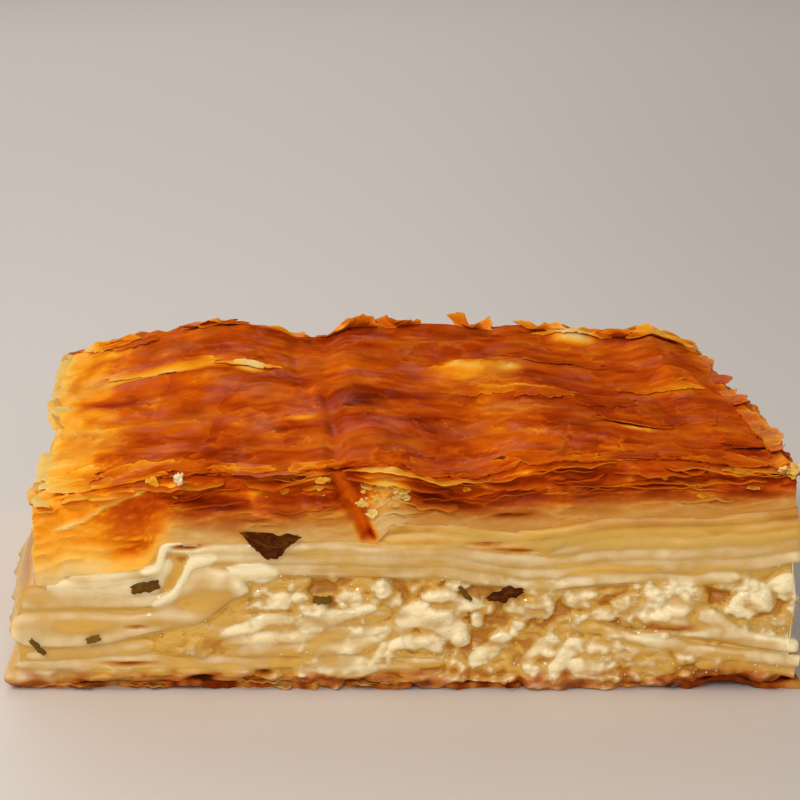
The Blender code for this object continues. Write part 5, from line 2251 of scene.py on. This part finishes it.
LEAVES = [HerbLeaf(*row) for row in (
    (-17.9, 20.2, 7.2, 3.6, -4, 0.85, 0.75), (-34.4, 14.6, 3.8, 1.5, 12, 0.2, 0.75, 0.3),
    (-11.1, 12.9, 2.5, 1.1, 0, 0.1, 1, 0.5), (13, 13.7, 4.8, 1.9, 14, 0.7, 1.1),
    (7.7, 13.8, 2.6, 0.8, -50, 0.4, 1.1, 0.4), (-48.8, 6.3, 2.8, 0.8, -48, 0.3, 0.9, 0.4),
    (-41.4, 7.4, 1.9, 1, 20, 0.2, 0.9, 0.6))]


@dataclass(frozen=True)
class ButterDrops:
    """Tiny drops of butter and moisture that glisten on the front cut."""

    count: int = 500
    smallest: float = 0.06
    largest: float = 0.15

    def build(self, face: CutFace, ceiling: Callable[[float], float],
              material: Material) -> Object:
        """Build the drops as one piece.

        Args:
            face: the cut face they sit on.
            ceiling: height of the crust's underside at x.
            material: their finish.

        Returns:
            The drops' object.
        """
        rng = random.Random(9)
        skin = Skin()
        for _ in range(self.count):
            x, z = rng.uniform(-49, 50.5), rng.uniform(1.6, 22)
            radius = rng.uniform(self.smallest, self.largest)
            cheesy = face.cheese_share(x, z) > 0.5 and wobble(x / 4, z / 3, 8.0) > 0.05
            if z < ceiling(x) - 0.3 and cheesy:
                self.drop(skin, SliceSpace.place(x, z, 0.0, face.read(x, z)[0] - 0.02), radius * MM)
        return skin.piece("butter_drops", material)

    def crumb(self, material: Material) -> Object:
        """Build the white crumb that lies on the front edge of the top.

        Args:
            material: its finish.

        Returns:
            The crumb's object.
        """
        skin = Skin()
        self.drop(skin, SliceSpace.place(-29.7, 29.1, 0.0, 0.5), 0.62 * MM, 0.9, 12)
        return skin.piece("white_crumb", material)

    @staticmethod
    def drop(skin: Skin, middle: Vector, radius: float, lumps: float = 0.0, rings: int = 4) -> None:
        """Add one small ball to a skin.

        Args:
            skin: the skin to add it to.
            middle: its middle in the frame.
            radius: its radius, m.
            lumps: how lumpy it is, 0 for a smooth ball.
            rings: its bands from pole to pole.
        """
        grid = []
        for ring in range(rings + 1):
            tilt = math.pi * (0.1 + 0.8 * ring / rings)
            row = []
            for spoke in range(2 * rings):
                turn = spoke * math.pi / rings
                way = Vector((math.cos(turn) * math.sin(tilt), math.sin(turn) * math.sin(tilt),
                              math.cos(tilt)))
                swell = 1 + lumps * wobble(*(way * 1.6)) + 0.5 * lumps * wobble(*(way * 4))
                row.append(skin.add(middle + way * radius * swell, 0.0, -0.3))
            grid.append(row + row[:1])
        for low_ring, high_ring in zip(grid, grid[1:]):
            skin.strip(low_ring, high_ring)
        skin.faces.append(tuple(grid[0][:-1]))
        skin.faces.append(tuple(grid[-1][:-1]))


@dataclass
class GrainScatter:
    """Scatters small lumps over a surface by a Geometry Nodes tree."""

    name: str
    density: float
    smallest: float
    largest: float
    seed: int = 1

    def tree(self) -> NodeTree:
        """Build the tree: points on faces, lumpy grains on them, real meshes, finish.

        Returns:
            The tree.
        """
        tree = bpy.data.node_groups.new(self.name + "_tree", "GeometryNodeTree")
        face = tree.interface
        face.new_socket("Surface", in_out="INPUT", socket_type="NodeSocketGeometry")
        for label, kind in (("Density", "NodeSocketFloat"), ("Smallest", "NodeSocketFloat"),
                            ("Largest", "NodeSocketFloat"), ("Seed", "NodeSocketInt"),
                            ("Finish", "NodeSocketMaterial")):
            face.new_socket(label, in_out="INPUT", socket_type=kind)
        face.new_socket("Grains", in_out="OUTPUT", socket_type="NodeSocketGeometry")
        kit = NodeKit(tree)
        given = kit.add("NodeGroupInput").outputs
        points = kit.add("GeometryNodeDistributePointsOnFaces", in_Mesh=given["Surface"],
                         in_Density=given["Density"], in_Seed=given["Seed"])
        ball = kit.add("GeometryNodeMeshIcoSphere", in_Radius=1.0, in_Subdivisions=2)
        place = kit.add("GeometryNodeInputPosition").outputs[0]
        push = kit.add("ShaderNodeVectorMath", operation="SCALE", in_0=place, in_Scale=kit.math(
            "SUBTRACT", kit.noise(1.7, 1.0, 0.5, place=place), 0.5))
        lumpy = kit.add("GeometryNodeSetPosition", in_Geometry=ball.outputs["Mesh"],
                        in_Offset=push.outputs[0])
        size = kit.add("FunctionNodeRandomValue", data_type="FLOAT", in_2=given["Smallest"],
                       in_3=given["Largest"])
        turn = kit.add("FunctionNodeRandomValue", data_type="FLOAT_VECTOR", in_1=(6.28, 6.28, 6.28))
        grains = kit.add("GeometryNodeInstanceOnPoints", in_Points=points.outputs["Points"],
                         in_Instance=lumpy.outputs[0], in_Scale=size.outputs[1],
                         in_Rotation=turn.outputs[0])
        real = kit.add("GeometryNodeRealizeInstances", in_Geometry=grains.outputs[0])
        even = kit.add("GeometryNodeSetShadeSmooth", in_Geometry=real.outputs[0])
        finish = kit.add("GeometryNodeSetMaterial", in_Geometry=even.outputs[0],
                         in_Material=given["Finish"])
        kit.fill(kit.add("NodeGroupOutput"), Grains=finish.outputs[0])
        return tree

    def build(self, surface: Mesh, material: Material) -> Object:
        """Scatter the grains over a surface and return them as one plain piece.

        Args:
            surface: the mesh that carries the grains.
            material: the grains' finish.

        Returns:
            The grains' object.
        """
        tree = self.tree()
        carrier = bpy.data.objects.new("grain_carrier", surface.copy())
        bpy.context.scene.collection.objects.link(carrier)
        scatter = carrier.modifiers.new("scatter", "NODES")
        scatter.node_group = tree
        values = {"Density": self.density, "Smallest": self.smallest * MM,
                  "Largest": self.largest * MM, "Seed": self.seed, "Finish": material}
        for item in tree.interface.items_tree:
            if item.name in values and item.in_out == "INPUT":
                scatter[item.identifier] = values[item.name]
        graph = bpy.context.evaluated_depsgraph_get()
        graph.update()
        mesh = bpy.data.meshes.new_from_object(carrier.evaluated_get(graph))
        bpy.data.objects.remove(carrier)
        mesh.shade_smooth()
        return finished(self.name, mesh, material)


# ---------------- studio


@dataclass
class Studio:
    """Pale floor, soft lights and the camera."""

    lens: float = 126.0
    eye: Triple = (0.0024, -0.3953, 0.1259)
    pitch: float = 13.72
    yaw: float = -0.12

    def floor(self) -> None:
        """Lay the pale floor."""
        mesh = bpy.data.meshes.new("floor")
        reach = 3.0
        mesh.from_pydata([(-reach, -reach, 0), (reach, -reach, 0), (reach, reach, 0),
                          (-reach, reach, 0)], [], [(0, 1, 2, 3)])
        floor = bpy.data.objects.new("floor", mesh)
        bpy.context.scene.collection.objects.link(floor)
        material, _, shader = new_material("pale_floor")
        shader.inputs["Base Color"].default_value = linear(210, 200, 191)
        shader.inputs["Roughness"].default_value = 0.5
        mesh.materials.append(material)

    @staticmethod
    def light(name: str, place: Triple, target: Triple, size: tuple[float, float], power: float,
              colour: Triple) -> None:
        """Hang one soft rectangular light.

        Args:
            name: its name.
            place: where it hangs, m.
            target: what it points at, m.
            size: its width and height, m.
            power: its power, W.
            colour: its linear colour.
        """
        data = bpy.data.lights.new(name, "AREA")
        data.shape = "RECTANGLE"
        data.size, data.size_y = size
        data.energy = power
        data.color = colour
        lamp = bpy.data.objects.new(name, data)
        lamp.location = place
        lamp.rotation_euler = (Vector(target) - Vector(place)).to_track_quat("-Z", "Y").to_euler()
        lamp.visible_camera = False
        bpy.context.scene.collection.objects.link(lamp)

    def build(self) -> None:
        """Set up the floor, the lights, the surrounding light and the camera."""
        self.floor()
        self.light("back_window", (-0.3, 0.75, 0.5), (0, 0.35, 0), (1.1, 0.5), 3.0,
                   (1.0, 0.98, 0.96))
        self.light("top_left_soft", (-0.42, -0.12, 0.5), (-0.02, 0, 0.01), (0.3, 0.3), 1.9,
                   (1.0, 0.96, 0.9))
        self.light("front_fill", (0.1, -0.85, 0.3), (0, 0, 0.015), (0.6, 0.4), 2.7,
                   (1.0, 0.97, 0.93))
        self.light("glint_lamp", (-0.2, -0.55, 0.42), (0, 0, 0.015), (0.03, 0.03), 1.2,
                   (1.0, 0.98, 0.95))
        world = bpy.data.worlds.new("soft_room")
        world.use_nodes = True
        sky = world.node_tree.nodes["Background"]
        sky.inputs["Color"].default_value = (0.97, 0.98, 1.0, 1)
        sky.inputs["Strength"].default_value = 0.25
        bpy.context.scene.world = world
        bpy.context.scene.view_settings.view_transform = "Standard"
        data = bpy.data.cameras.new("camera")
        data.lens = self.lens
        data.sensor_width = 36.0
        data.clip_start = 0.02
        camera = bpy.data.objects.new("camera", data)
        camera.location = self.eye
        camera.rotation_euler = Euler((math.radians(90 - self.pitch), 0.0,
                                       math.radians(-self.yaw)))
        bpy.context.scene.collection.objects.link(camera)
        bpy.context.scene.camera = camera


# ---------------- the whole slice


def main() -> None:
    """Build the slice piece by piece, then the studio."""
    logging.basicConfig(level=logging.INFO, format="%(name)s %(message)s", stream=sys.stdout)
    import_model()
    shelf = EffectShelf()
    crust = BakedFinish("browned_top", shelf, mottle=0.16, sheen=0.12, bump=0.25,
                        glow=0.08).material()
    leaf_crust = BakedFinish("crisp_leaves", shelf, mottle=0.16, specular=0.03, sheen=0.06,
                             glow=0.35).material()
    base = BakedFinish("browned_base", shelf, mottle=0.4, roughness=0.6, wrinkles=1.2).material()
    dough = DoughFinish("boiled_dough", shelf).material()
    cheese = DoughFinish("white_cheese", shelf, white=0.45, roughness=0.5, coat=0.5,
                         coat_roughness=0.06, bump=0.6, pores=0.8, wrinkles=0.8).material()
    herb = HerbFinish("baked_herb", shelf).material()
    oil = DoughFinish("butter_drops", shelf, white=0.6, roughness=0.12, specular=0.6, coat=1.0,
                      coat_roughness=0.05, bump=0.0).material()

    top = CrispTop()
    faces = (CutFace(0.0), CutFace(7.0))
    for sheet in SHEETS:
        settle(sheet.build(faces, dough), sheet.name, sheet.name)
    settle(CORNER.build(faces, dough), "lower_sheet_1")
    for mass in (LEFT_FOLD, WEDGE):
        settle(mass.build(faces, dough), mass.name, mass.name)
    pressed = SoftMass("pressed_layers", lambda x: top.floor(x) - 0.3,
                       lambda x: 1.3 - 1.0 * CrispBase.covered(x), -51.6, 51.0, layers=90,
                       step=0.35, behind=0.07, end=2.2)
    settle(pressed.build(faces, dough), "left_fold")
    drops_on_cut = ButterDrops()
    settle(drops_on_cut.build(faces[0], top.floor, oil), "left_fold")
    settle(drops_on_cut.crumb(cheese), "crisp_top")

    fillings = [
        SoftMass("cheese_upper", upper_cheese_top, upper_cheese_bottom, -20.9, 51.3, layers=44,
                 step=0.25, behind=0.03, end=2.0),
        SoftMass("cheese_left", partial(at, LEFT_FOLD_BOTTOM),
                 lambda x: SHEET["lower_sheet_1"].face_height(x, 1, 0.2), -35.5, -22.6, layers=24,
                 step=0.25, behind=0.03, end=5.0),
        SoftMass("cheese_lower", lambda x: SHEET["right_sheet_2"].face_height(x, -1, 0.2),
                 lambda x: 0.8, 18.6, 40.5, layers=34, step=0.25, behind=0.03, end=1.2)]
    for filling in fillings:
        mass = filling.build(faces, cheese)
        settle(mass, filling.name, filling.name)
        grains = GrainScatter(filling.name + "_grains", 30000.0, 0.1, 0.3, seed=7)
        settle(grains.build(mass.data, cheese), filling.name)
        drops = GrainScatter(filling.name + "_drops", 8000.0, 0.1, 0.24, seed=11)
        settle(drops.build(mass.data, oil), filling.name)

    settle(top.body(crust), "crisp_top", "crisp_top")
    for seed, side in enumerate(Side, start=21):
        settle(top.leaves(side, seed, leaf_crust), "crisp_top")
    settle(top.scales(12, crust), "crisp_top")
    settle(top.chips(leaf_crust), "crisp_top")

    crisp_base = CrispBase()
    settle(crisp_base.build(base), "base_crust", "base_crust")
    settle(crisp_base.curls(base), "base_crust")

    for index, leaf in enumerate(LEAVES, start=1):
        name = f"herb_leaf_{index}"
        settle(leaf.build(index, herb), name, name)

    Studio().build()


if __name__ == "__main__":
    main()
